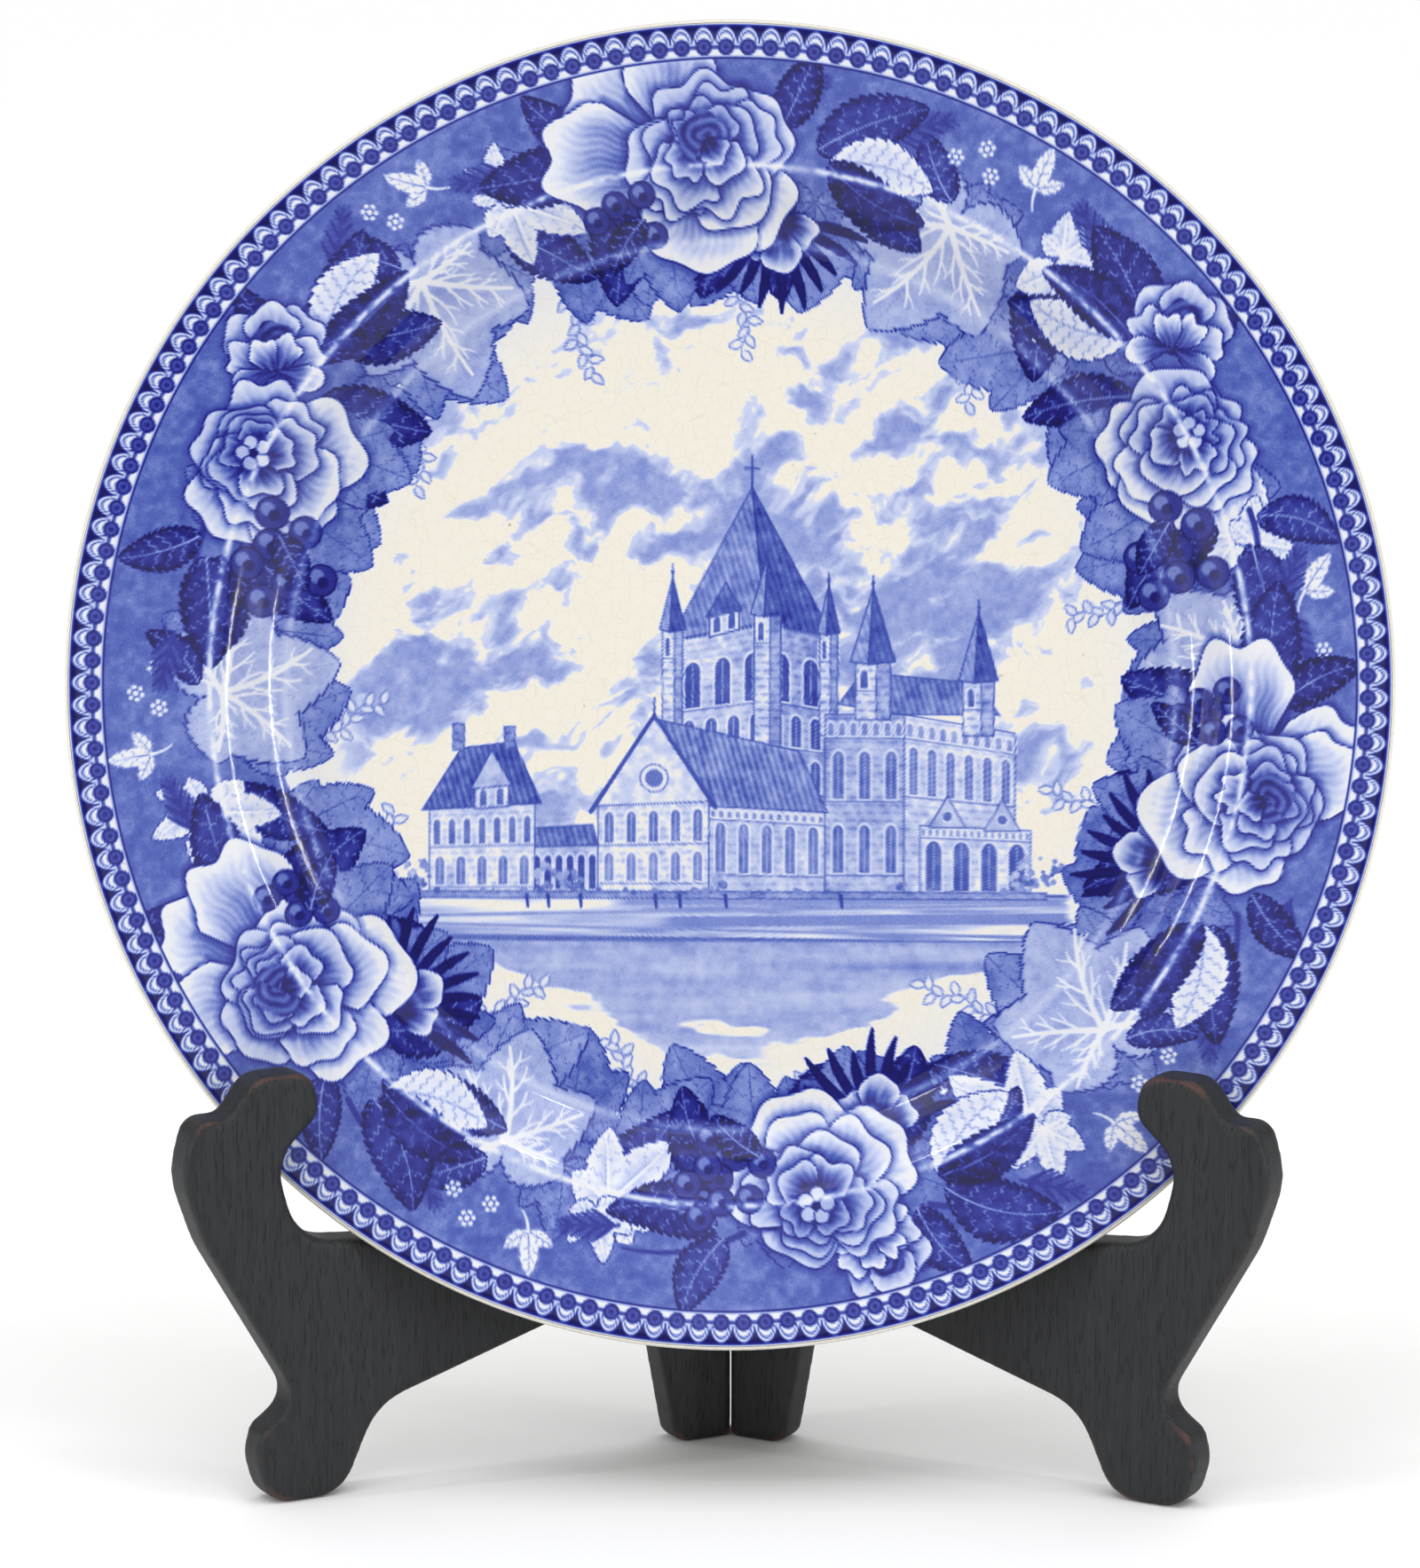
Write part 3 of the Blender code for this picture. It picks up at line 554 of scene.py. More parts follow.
def print_ground_and_water(art):
    x, y = art.x, art.y
    wide = 58 + 5 * (cloud_noise(y * 2, y, 5, 90) - 0.5)
    across = fade(wide - np.abs(x - 2), 1.5)
    strokes = cloud_noise(x * 0.14, y * 1.7, 3, 61, 3) - 0.5
    art.wash(across * fade(-37.0 - y) * fade(y + 50, 1.0), np.clip(0.14 + 1.1 * strokes, 0.03, 0.5))
    for level, tilt, start, thick, tone in ((-37.3, 0.00, -60, 0.35, 0.66), (-38.6, 0.006, -20, 0.5, 0.45),
                                            (-40.0, 0.02, -60, 0.3, 0.45), (-42.0, 0.012, -12, 1.0, 0.5),
                                            (-43.6, -0.02, -60, 0.25, 0.5), (-45.4, -0.01, -60, 0.6, 0.62)):
        line = thick - np.abs(y - level - tilt * x) - 0.5 * strokes
        art.wash(across * fade(line) * fade(x - start, 4), tone)
    depth = (-y - 45.5) / 19
    edge = cloud_noise(x * 0.4, y * 1.6, 5, 99, 3) - 0.5
    shape = 1 - 0.72 * np.clip(depth, 0, 1) ** 0.9
    pool = fade(52 * shape - np.abs(x - 2) + 26 * edge, 2.0) * fade(-y - 45.6)
    pool *= fade(0.98 - depth + 0.7 * edge, 0.06)
    ripple = cloud_noise(x * 0.13, y * 1.1, 3, 17, 3) - 0.5
    art.wash(pool, np.clip(0.4 + 0.32 * ripple + 0.15 * art.fine - 0.1 * depth, 0.1, 0.6))


def print_church(art):
    """A made-up town church: a square tower under a tall roof, a gabled hall on the left, an
    apse with two pinnacled stair towers on the right, and a low house beyond."""
    view = View(art, -37.0)
    # tower
    view.wall(-10, 7, 0.94, 1.0, 14, 51, 0.22,
              ((20, 6, 4, 0.5, 0.6), (28.5, 6, 4, 0.5, 0.66), (37, 9, 3, 0.5, 0.72)))
    view.wall(7, 18, 1.0, 0.95, 14, 51, 0.38,
              ((20, 6, 3, 0.5, 0.7), (28.5, 6, 3, 0.5, 0.74), (37, 9, 2, 0.5, 0.78)))
    view.shape([(-11.5, 48), (6.6, 51.3), (4, 77)], 0.5, 0.8, 0.06)
    view.shape([(6.6, 51.3), (19.5, 48.5), (4, 77)], 0.72, 0.85, 0.06)
    art.stroke([(4, 39.5), (4, 46)], 0.5, 0.75)
    art.stroke([(2.6, 43.6), (5.4, 43.6)], 0.4, 0.75)
    view.wall(-4, 1.6, 0.97, 1, 50, 54, 0.16, ((50.6, 3, 2, 0.45, 0.66),))
    view.shape([(-4.6, 52.3), (2.1, 53.6), (-0.9, 59)], 0.62, 0.8, 0.05)
    for x, low, high, half, roof in ((-11, 30, 50, 1.9, 10), (7, 15, 53, 2.5, 11), (18.6, 30, 49.5, 1.7, 9)):
        view.turret(x, low, high, half, roof)
    # chancel, with its stair towers and a porch
    view.wall(18, 33, 1.0, 1.0, 0, 34, 0.34,
              ((4, 9, 3, 0.4, 0.62), (18, 9, 3, 0.42, 0.62), (30, 2.4, 7, 0.5, 0.5)))
    view.wall(33, 54, 1.0, 0.9, 0, 34, 0.2, ((19, 9, 6, 0.44, 0.58), (30, 2.4, 10, 0.5, 0.45)))
    view.shape([(19, 34), (33, 34), (53, 31), (47, 40), (25, 42)], 0.56, 0.75, 0.08)
    view.turret(27, 33, 44, 3.3, 14)
    view.turret(47, 30, 40.5, 2.9, 13)
    view.wall(36, 57, 1.0, 0.93, 0, 13, 0.18, ((0.6, 9.5, 4, 0.56, 0.66), (11.2, 1.2, 16, 0.4, 0.5)))
    for x, y in ((41.2, 12.6), (51.6, 12.0)):
        view.shape([(x - 3.4, y), (x + 3.4, y), (x, y + 6)], 0.3, 0.75)
        art.disc(x, y - 34.9, 0.9, 0.62, 0.1)
    # hall: its gable to the left, its long side to the right
    view.wall(-4, 18, 1.0, 0.92, 0, 17, 0.24, ((4, 9.5, 5, 0.42, 0.56), (14.6, 1.2, 14, 0.5, 0.5)))
    view.shape([(-4.6, 16.6), (18.5, 15.4), (13, 27), (-14, 33)], 0.52, 0.78, 0.09)
    view.wall(-25, -4, 0.95, 1.0, 0, 17.5, 0.13, ((2.4, 5.5, 5, 0.4, 0.5), (10, 6, 5, 0.4, 0.6)), 0.14)
    view.shape([(-25.4, 16.5), (-3.8, 17.4), (-14.4, 33.2)], 0.15, 0.75)
    art.disc(-14.4, -15.2, 2.5, 0.1, 0.7)
    art.disc(-14.4, -15.2, 1.7, 0.6)
    art.stroke([(-26.4, -21.6), (-14.4, -3.2)], 0.9, 0.74)
    art.stroke([(-2.8, -20.6), (-14.4, -3.2)], 0.9, 0.74)
    art.stroke([(-14.4, -4), (-14.4, 0)], 0.5, 0.75)
    # covered walk and house
    view.wall(-44, -25, 0.9, 0.96, 0, 9.5, 0.26, ((0.8, 6.8, 9, 0.6, 0.74),))
    view.shape([(-45, 8.4), (-25, 9.1), (-26, 13), (-42, 12)], 0.6, 0.75, 0.08)
    view.wall(-57, -37, 0.94, 1.0, 0, 17, 0.15, ((1.6, 5.5, 5, 0.42, 0.55), (9.6, 5, 7, 0.42, 0.6)), 0.12)
    view.shape([(-58.4, 15.6), (-35.8, 17), (-41, 28.6), (-51, 27.4)], 0.68, 0.82, 0.09)
    view.wall(-48.4, -42, 0.97, 1, 16.4, 20.5, 0.14, ((16.8, 3.2, 2, 0.4, 0.6),))
    view.shape([(-49.2, 19.6), (-41.4, 20.4), (-45.2, 27)], 0.26, 0.8)
    view.wall(-52.6, -50.4, 1, 1, 27, 32, 0.5)
    view.wall(-42.8, -40.8, 1, 1, 27, 31.5, 0.5)
    for x, y, size, seed in ((-60, 3.6, 3.6, 1), (-34, 3.2, 3.2, 2), (-30.4, 2.4, 2.4, 3), (31, 2.0, 2.0, 4),
                             (59, 4.6, 4.0, 5), (55, 2.2, 2.2, 6), (-2.6, 1.6, 1.6, 7)):
        view.tree(x, y, size, seed)
    # kerb, a few people and bushes
    view.wall(-60, 60, 1, 1, -1.0, 0.3, 0.46)
    rng = np.random.default_rng(8)
    for _ in range(30):
        art.disc(rng.uniform(-57, 57), -37.0 + rng.uniform(0, 0.7), rng.uniform(0.35, 0.8),
                 rng.uniform(0.45, 0.66))
    for _ in range(7):
        x = rng.uniform(-40, 30)
        art.stroke([(x, -37.4), (x + 0.2, -39.6)], 0.75, 0.8)


# Angle clockwise from the top, side, size of the rose, plan
SPRAYS = ((-3, 1, 17.5, 0), (62, -1, 15, 1), (103, 1, 16.5, 0), (170, -1, 17, 2), (234, -1, 17.5, 0),
          (296, 1, 16, 1))


def transfer_ink(x, y):
    """The whole print, in the order that its layers cover each other."""
    art = Transfer(x, y)
    print_sky(art)
    print_ground_and_water(art)
    church = Transfer(x / 0.94, (y + 37) / 0.94 - 37)  # drawn a little under its own size
    church.ink = art.ink
    print_church(church)
    art.ink *= 0.9  # the view is printed paler than the border
    print_ground(art)
    print_leafy_edge(art)
    for number, (angle, side, _, _) in enumerate(SPRAYS):
        after = SPRAYS[(number + 1) % len(SPRAYS)][0]
        print_between(art, angle + ((after - angle) % 360) / 2, side, 40 + number)
    for number, (angle, side, size, plan) in enumerate(SPRAYS):
        print_spray(art, angle, side, 100 + number, size, plan)
    print_edge_band(art)
    radius = np.hypot(x, y)  # the print wears thin over the ridge and in the corner of the well
    thin = 0.72 * np.exp(-((radius - 92.2) / 0.6) ** 2) + 0.35 * np.exp(-((radius - 79.2) / 0.8) ** 2)
    return np.clip(art.ink * (1 - thin * np.clip(1 + 2.6 * art.fine + 1.4 * art.soft, 0.1, 1.3)), 0, 1)


# ---- Shaping helpers ----

def new_piece(name, mesh, material, body):
    """A finished piece that rides on a body and takes its finish from a slot."""
    piece = bpy.data.objects.new(name, mesh)
    bpy.context.scene.collection.objects.link(piece)
    mesh.materials.clear()
    mesh.materials.append(material)
    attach(piece, body)
    return piece


def points_of(mesh):
    points = np.empty(len(mesh.vertices) * 3, np.float32)
    mesh.vertices.foreach_get("co", points)
    return points.reshape(-1, 3).astype(float)


def store(mesh, name, values):
    """Writes one number for each point, for the material to read."""
    mesh.attributes.new(name, "FLOAT", "POINT").data.foreach_set("value", np.asarray(values, np.float32))


# ---- Node groups ----

class Group:
    """A node group being built: sockets in, nodes, sockets out. An input is given as its first
    value, or as the word for its kind where it has none."""

    def __init__(self, name, inputs, outputs, kind="ShaderNodeTree"):
        self.tree = bpy.data.node_groups.new(name, kind)
        for socket, value in inputs.items():
            sort = value if isinstance(value, str) else "Color" if isinstance(value, tuple) else "Float"
            made = self.tree.interface.new_socket(socket, in_out="INPUT", socket_type="NodeSocket" + sort)
            if sort != value:
                made.default_value = value
        for socket, kind in outputs.items():
            self.tree.interface.new_socket(socket, in_out="OUTPUT", socket_type="NodeSocket" + kind)
        self.given = self.tree.nodes.new("NodeGroupInput").outputs
        self.result = self.tree.nodes.new("NodeGroupOutput").inputs

    def node(self, kind, settings=None, **inputs):
        """A node with its settings, and its inputs by name or, as in _6, by number."""
        made = self.tree.nodes.new(kind if kind.startswith(("Geometry", "Function")) else "ShaderNode" + kind)
        for name, value in (settings or {}).items():
            setattr(made, name, value)
        for name, value in inputs.items():
            key = int(name[1:]) if name[1:].isdigit() else name.replace("_", " ")
            self.feed(made.inputs[key], value)
        return made

    def feed(self, socket, value):
        if isinstance(value, bpy.types.NodeSocket):
            self.tree.links.new(value, socket)
        else:
            socket.default_value = value

    def maths(self, operation, *values, clamp=False):
        made = self.node("Math", {"operation": operation, "use_clamp": clamp})
        for socket, value in zip(made.inputs, values):
            self.feed(socket, value)
        return made.outputs[0]

    def past(self, value, start, rate):
        """0 up to start, then rising at the rate to 1."""
        return self.maths("MULTIPLY", self.maths("SUBTRACT", value, start), rate, clamp=True)

    def mix(self, share, first, second):
        return self.node("Mix", {"data_type": "RGBA"}, _0=share, _6=first, _7=second).outputs[2]

    def ramp(self, share, stops):
        made = self.node("ValToRGB", None, Fac=share)
        bar = made.color_ramp
        while len(bar.elements) < len(stops):
            bar.elements.new(0.5)
        for element, (position, colour) in zip(bar.elements, stops):
            element.position = position
            element.color = colour
        return made.outputs[0]

    def stretch(self, scale):
        where = self.node("TexCoord").outputs["Object"]
        return self.node("Mapping", None, Vector=where, Scale=scale).outputs[0]

    def noise(self, vector, scale, detail=3.0, rough=0.55):
        made = self.node("TexNoise", None, Vector=vector, Scale=scale, Detail=detail, Roughness=rough)
        return made.outputs[0]


def tint(text):
    """A colour written as six hexadecimal digits, in scene-linear values."""
    parts = [int(text[i:i + 2], 16) / 255 for i in (0, 2, 4)]
    return tuple(p / 12.92 if p < 0.04045 else ((p + 0.055) / 1.055) ** 2.4 for p in parts) + (1.0,)


def printed_glaze_group():
    """Ink under a clear crazed glaze. Ink and Cream come from the mesh."""
    group = Group("blue_print_under_glaze", {"Ink": 0.0, "Cream": 0.0, "Craze": 0.3, "Stipple": 0.5},
                  {"Colour": "Color", "Roughness": "Float", "Height": "Float"})
    given, maths = group.given, group.maths
    where = group.stretch((1000, 1000, 1000))
    dots = group.noise(where, 3.4, 1.0)
    blotch = group.noise(where, 0.22, 4.0)
    middle = maths("MULTIPLY", given["Ink"], maths("SUBTRACT", 1.15, given["Ink"]))
    swing = maths("MULTIPLY", maths("SUBTRACT", dots, 0.5), maths("MULTIPLY", middle, given["Stipple"]))
    drift = maths("MULTIPLY", maths("SUBTRACT", blotch, 0.5), maths("MULTIPLY", middle, 0.45))
    ink = maths("ADD", given["Ink"], maths("ADD", swing, drift), clamp=True)
    blue = group.ramp(ink, BLUES)
    bare = group.mix(given["Cream"], COOL_GLAZE, CREAM_GLAZE)
    cover = maths("MULTIPLY", ink, 7.0, clamp=True)
    colour = group.mix(cover, bare, blue)
    cells = group.node("TexVoronoi", {"feature": "DISTANCE_TO_EDGE"}, Vector=where, Scale=0.42)
    crack = maths("SUBTRACT", 1.0, maths("MULTIPLY", cells.outputs["Distance"], 28.0, clamp=True))
    open_glaze = maths("MULTIPLY_ADD", cover, -0.9, 1.0)
    crack = maths("MULTIPLY", crack, open_glaze)
    colour = group.mix(maths("MULTIPLY", crack, maths("MULTIPLY", given["Craze"], 0.3)), colour, STAIN)
    speck = maths("GREATER_THAN", group.noise(where, 0.9, 0.0), 0.885)
    colour = group.mix(maths("MULTIPLY", maths("MULTIPLY", speck, open_glaze), 0.6), colour, STAIN)
    waves = group.noise(where, 0.16, 2.0)
    pits = maths("MULTIPLY", group.noise(where, 0.9, 2.0), 0.3)
    group.feed(group.result["Colour"], colour)
    group.feed(group.result["Roughness"], maths("ADD", 0.05, maths("MULTIPLY", blotch, 0.1)))
    group.feed(group.result["Height"], maths("ADD", waves, pits))
    return group.tree


def stained_wood_group():
    """Open pores and a fine grain under black stain, rubbed to brown where Edge is high."""
    group = Group("stained_grain", {"Edge": 0.0, "Stain": tint("25272a"), "Grain": tint("17191b"),
                                    "Rubbed": tint("4a3029")},
                  {"Colour": "Color", "Roughness": "Float", "Height": "Float"})
    given, maths = group.given, group.maths
    grain = group.noise(group.stretch((1400, 1400, 60)), 1.0, 4.0, 0.6)
    pores = group.noise(group.stretch((2600, 2600, 260)), 1.0, 1.0)
    patch = group.noise(group.stretch((40, 40, 40)), 1.0, 4.0)
    pore = maths("MULTIPLY", maths("SUBTRACT", 0.4, pores), 9.0, clamp=True)
    streak = group.past(grain, 0.4, 2.6)
    colour = group.mix(streak, given["Grain"], given["Stain"])
    colour = group.mix(maths("MULTIPLY", pore, 0.75), colour, tint("0e0e10"))
    dusty = group.past(patch, 0.45, 1.6)
    colour = group.mix(maths("MULTIPLY", dusty, 0.35), colour, tint("323336"))
    worn = maths("ADD", given["Edge"], maths("MULTIPLY", patch, 1.3))
    rub = group.past(worn, 1.44, 5.0)
    colour = group.mix(maths("MULTIPLY", rub, 0.85), colour, given["Rubbed"])
    group.feed(group.result["Colour"], colour)
    group.feed(group.result["Roughness"], maths("ADD", 0.42, maths("MULTIPLY", patch, 0.25)))
    group.feed(group.result["Height"], maths("SUBTRACT", maths("MULTIPLY", grain, 0.5), pore))
    return group.tree


def aged_brass_group():
    group = Group("aged_metal", {"Clean": tint("c49a55"), "Tarnish": tint("5a4424")},
                  {"Colour": "Color", "Roughness": "Float", "Height": "Float"})
    maths = group.maths
    patch = group.noise(group.stretch((300, 300, 300)), 1.0, 5.0, 0.65)
    brushed = group.noise(group.stretch((900, 900, 6000)), 1.0, 2.0)
    old = group.past(patch, 0.42, 4.0)
    group.feed(group.result["Colour"], group.mix(old, group.given["Clean"], group.given["Tarnish"]))
    group.feed(group.result["Roughness"], maths("ADD", 0.25, maths("MULTIPLY", old, 0.35)))
    group.feed(group.result["Height"], brushed)
    return group.tree


def finish_from(group, name, bump, attributes=(), values=None, **constants):
    """A material whose Principled shader takes colour, roughness and height from a group."""
    material = bpy.data.materials.new(name)
    material.use_nodes = True
    nodes, links = material.node_tree.nodes, material.node_tree.links
    shader = nodes["Principled BSDF"]
    placed = nodes.new("ShaderNodeGroup")
    placed.node_tree = group
    for socket, value in (values or {}).items():
        placed.inputs[socket].default_value = value
    for socket, attribute in attributes:
        source = nodes.new("ShaderNodeAttribute")
        source.attribute_name = attribute
        links.new(source.outputs["Fac"], placed.inputs[socket])
    relief = nodes.new("ShaderNodeBump")
    relief.inputs["Distance"].default_value = bump
    relief.inputs["Strength"].default_value = 1.0
    links.new(placed.outputs["Height"], relief.inputs["Height"])
    links.new(relief.outputs["Normal"], shader.inputs["Normal"])
    links.new(placed.outputs["Colour"], shader.inputs["Base Color"])
    links.new(placed.outputs["Roughness"], shader.inputs["Roughness"])
    for socket, value in constants.items():
        shader.inputs[socket.replace("_", " ")].default_value = value
    return material


# Colours mixed from the bare glaze to the darkest ink.
BLUES = [(0.0, tint("dbdde4")), (0.18, tint("b4bddb")), (0.42, tint("7887c3")), (0.58, tint("495ba9")),
         (0.75, tint("2a3190")), (0.88, tint("131170")), (1.0, tint("080540"))]
COOL_GLAZE = tint("dadbe0")
CREAM_GLAZE = tint("dfdacd")
STAIN = tint("8d7c62")

printed_glaze = printed_glaze_group()
print_finish = finish_from(printed_glaze, "printed_glaze", 0.05 * MM, (("Ink", "ink"), ("Cream", "cream")),
                           {"Craze": 0.4, "Stipple": 0.55}, Specular_IOR_Level=0.42)
clay_finish = finish_from(printed_glaze, "plain_glaze", 0.05 * MM, (), {"Cream": 0.8, "Craze": 0.8},
                          Specular_IOR_Level=0.5)
wood_finish = finish_from(stained_wood_group(), "stained_wood", 0.12 * MM, (("Edge", "rubbed"),),
                          Specular_IOR_Level=0.4)
brass_finish = finish_from(aged_brass_group(), "aged_brass", 0.01 * MM, Metallic=1.0)


# ---- Geometry trees ----

def lathe_tree():
    """Turns a profile, a chain of points (radius, 0, height), about the upright axis."""
    group = Group("lathe", {"Profile": "Geometry", "Sides": "Int", "Weld": 1e-6, "Finish": "Material"},
                  {"Shape": "Geometry"}, "GeometryNodeTree")
    given, maths = group.given, group.maths
    count = group.node("GeometryNodeAttributeDomainSize", None, Geometry=given["Profile"]).outputs[0]
    columns = maths("ADD", given["Sides"], 1.0)
    sheet = group.node("GeometryNodeMeshGrid", None, Vertices_X=count, Vertices_Y=columns).outputs["Mesh"]
    index = group.node("GeometryNodeInputIndex").outputs[0]
    step = maths("FLOOR", maths("DIVIDE", index, columns))
    turn = maths("MULTIPLY", maths("SUBTRACT", index, maths("MULTIPLY", step, columns)),
                 maths("DIVIDE", math.tau, given["Sides"]))
    spot = group.node("GeometryNodeInputPosition").outputs[0]
    there = group.node("GeometryNodeSampleIndex", {"data_type": "FLOAT_VECTOR"}, Geometry=given["Profile"],
                       Value=spot, Index=step).outputs[0]
    parts = group.node("SeparateXYZ", None, Vector=there).outputs
    place = group.node("CombineXYZ", None, X=maths("MULTIPLY", parts["X"], maths("COSINE", turn)),
                       Y=maths("MULTIPLY", parts["X"], maths("SINE", turn)), Z=parts["Z"]).outputs[0]
    bent = group.node("GeometryNodeSetPosition", None, Geometry=sheet, Position=place).outputs[0]
    closed = group.node("GeometryNodeMergeByDistance", None, Geometry=bent, Distance=given["Weld"]).outputs[0]
    return finished(group, closed)


def screws_tree(lathe):
    """A slotted countersunk screw at every point, driven along the point's into vector."""
    group = Group("slotted_screws", {"Places": "Geometry", "Profile": "Object", "Sides": "Int",
                                     "Slot Width": 0.4 * MM, "Slot Depth": 0.3 * MM, "Head": 1.3 * MM,
                                     "Finish": "Material"}, {"Shape": "Geometry"}, "GeometryNodeTree")
    given, maths = group.given, group.maths
    chain = group.node("GeometryNodeObjectInfo", None, Object=given["Profile"]).outputs["Geometry"]
    turned = group.node("GeometryNodeGroup", {"node_tree": lathe}, Profile=chain, Sides=given["Sides"])
    size = group.node("CombineXYZ", None, X=given["Slot Width"], Y=maths("MULTIPLY", given["Head"], 3.0),
                      Z=maths("MULTIPLY", given["Slot Depth"], 2.0)).outputs[0]
    slot = group.node("GeometryNodeMeshCube", None, Size=size).outputs["Mesh"]
    cut = group.node("GeometryNodeMeshBoolean", {"operation": "DIFFERENCE", "solver": "EXACT"},
                     Mesh_1=turned.outputs[0], Mesh_2=slot).outputs["Mesh"]
    into = group.node("GeometryNodeInputNamedAttribute", {"data_type": "FLOAT_VECTOR"}, Name="into")
    back = group.node("VectorMath", {"operation": "SCALE"}, Vector=into.outputs[0], Scale=-1.0).outputs[0]
    turn = group.node("FunctionNodeAxesToRotation", {"primary_axis": "Z", "secondary_axis": "X"},
                      Primary_Axis=back, Secondary_Axis=(0, 0, 1)).outputs[0]
    driven = group.node("GeometryNodeInstanceOnPoints", None, Points=given["Places"], Instance=cut,
                        Rotation=turn).outputs[0]
    return finished(group, driven)


def finished(group, shape):
    """The end of every tree: real geometry with its material."""
    real = group.node("GeometryNodeRealizeInstances", None, Geometry=shape).outputs[0]
    coated = group.node("GeometryNodeSetMaterial", None, Geometry=real, Material=group.given["Finish"])
    group.feed(group.result["Shape"], coated.outputs[0])
    return group.tree


def chain_of(name, profile):
    """A profile given in mm, as a chain of points for the lathe."""
    mesh = bpy.data.meshes.new(name)
    links = [(i, i + 1) for i in range(len(profile) - 1)]
    mesh.from_pydata([(r * MM, 0, h * MM) for r, h in profile], links, [])
    return mesh


def grown(name, source, tree, **values):
    """The plain mesh that a geometry tree makes of a source mesh."""
    blank = bpy.data.objects.new(name, source)
    bpy.context.scene.collection.objects.link(blank)
    rule = blank.modifiers.new("rule", "NODES")
    rule.node_group = tree
    for item in tree.interface.items_tree:
        if item.in_out == "INPUT" and item.name.replace(" ", "_") in values:
            rule[item.identifier] = values[item.name.replace(" ", "_")]
    mesh = bpy.data.meshes.new_from_object(blank.evaluated_get(bpy.context.evaluated_depsgraph_get()))
    blank.modifiers.remove(rule)
    bpy.data.objects.remove(blank)
    mesh.name = name
    mesh.shade_smooth()
    mesh.set_sharp_from_angle(angle=math.radians(40))
    return mesh


# ---- Plate ----

class PlateFrame:
    """Where the plate lies: its axis and foot-ring plane, measured on the frame's own plate."""

    def __init__(self, node):
        points = np.unique(np.round(points_of(node.data), 6), axis=0)
        centre = points.mean(axis=0)
        directions = np.linalg.eigh(np.cov((points - centre).T))[1]
        self.axis = directions[:, 0] * (-1 if directions[1, 0] > 0 else 1)
        self.across = np.array([1.0, 0, 0])
        self.up = np.cross(self.axis, self.across)
        self.foot = centre + self.axis * ((points - centre) @ self.axis).min()

    def place(self, x, y, height):
        """World points in metres, from coordinates on the plate in mm."""
        offset = np.outer(x, self.across) + np.outer(y, self.up) + np.outer(height, self.axis)
        return self.foot + MM * offset


# Radius and height above the foot ring, mm
FACE_PROFILE = [(0, 7), (77, 7), (80, 7.6), (83, 9.55), (88, 14.65), (90.5, 16.4), (93, 17.2), (105, 20.06),
                (115.6, 22.6), (117.5, 22.65)]
LIP_PROFILE = [(116.78, 22.2), (116.85, 22.5), (117.1, 22.48), (117.3, 22.2), (117.45, 21.7), (117.5, 21.2),
               (117.4, 20.9)]
BACK_PROFILE = [(117.2, 20.6), (116.6, 19.9), (115.5, 19.3), (105, 16.8), (93, 13.4), (89.5, 11.3), (83, 5.3),
                (79, 3.5), (75.2, 2.5), (73.9, 2.2), (73.4, 0.5), (73.0, 0.12), (72.0, 0.02), (71.0, 0.1),
                (70.6, 0.5), (69.4, 2.1), (67, 2.45), (30, 2.45)]
SKIN = 0.3                       # the print's own layer, mm
SPACING = 0.33                   # between the print's points, mm
CLAY_SIDES = 360
SHELLS = (0, 28, 53, 72, 87.5, 101, 112, 116.7)  # radii where the print is parted into rings, mm


def face_height(radius):
    """The face's height: straight runs between the profile's points, rounded where they meet."""
    known_r, known_h = zip(*FACE_PROFILE)
    offsets = np.linspace(-1.6, 1.6, 9)
    weights = 1.7 - np.abs(offsets)
    total = sum(w * np.interp(np.abs(radius + o), known_r, known_h) for o, w in zip(offsets, weights))
    return total / weights.sum()


def seat(mesh, where):
    """Puts a mesh that was turned about the upright axis onto the plate's own axis."""
    mesh.vertices.foreach_set("co", where.place(*(points_of(mesh) / MM).T).astype(np.float32).ravel())
    mesh.update()


def shell_of_print(name, inner, outer, where):
    """A ring of the printed face: fine on top, coarse beneath, closed at both edges."""
    over = np.linspace(inner, outer, int((outer - inner) / SPACING) + 1)
    under = np.linspace(outer, inner, int((outer - inner) / 2) + 2)
    profile = [*zip(over, face_height(over)), *zip(under, face_height(under) - SKIN)]
    if inner > 0:
        profile.append(profile[0])
    sides = int(math.tau * outer / SPACING)
    mesh = grown(name, chain_of(name, profile), lathe, Sides=sides, Finish=print_finish)
    x, y, _ = (points_of(mesh) / MM).T
    store(mesh, "ink", transfer_ink(x, y))
    store(mesh, "cream", np.clip((82 - np.hypot(x, y)) / 18, 0.15, 1))
    seat(mesh, where)
    return new_piece(name, mesh, print_finish, "plate")


def turned_clay(where):
    """The clay body: the back, the foot ring and the bare lip round the print."""
    radii = np.array([*range(0, 76, 15), 77, 78.5, 80, 81.5, 83, 85, 87, 88.5, 90, 91.5, 93, 95, 99, 105, 110,
                      116.5])
    profile = [*zip(radii, face_height(radii) - SKIN - 0.06), *LIP_PROFILE, *BACK_PROFILE, (0, 2.45)]
    mesh = grown("clay_body", chain_of("clay_body", profile), lathe, Sides=CLAY_SIDES, Finish=clay_finish)
    seat(mesh, where)
    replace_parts(new_piece("clay_body", mesh, clay_finish, "plate"), "plate")


# ---- Stand ----

CARVING_GRID = 0.55 * MM
CARVING_ROUNDS = 4               # of smoothing, which rounds the arrises
WEAR_ROUNDS = 26                 # what stands proud of this much smoothing is rubbed
WEAR_DEPTH = 0.45 * MM           # and fully so when it stands this proud
SCREW_SIDES = 28


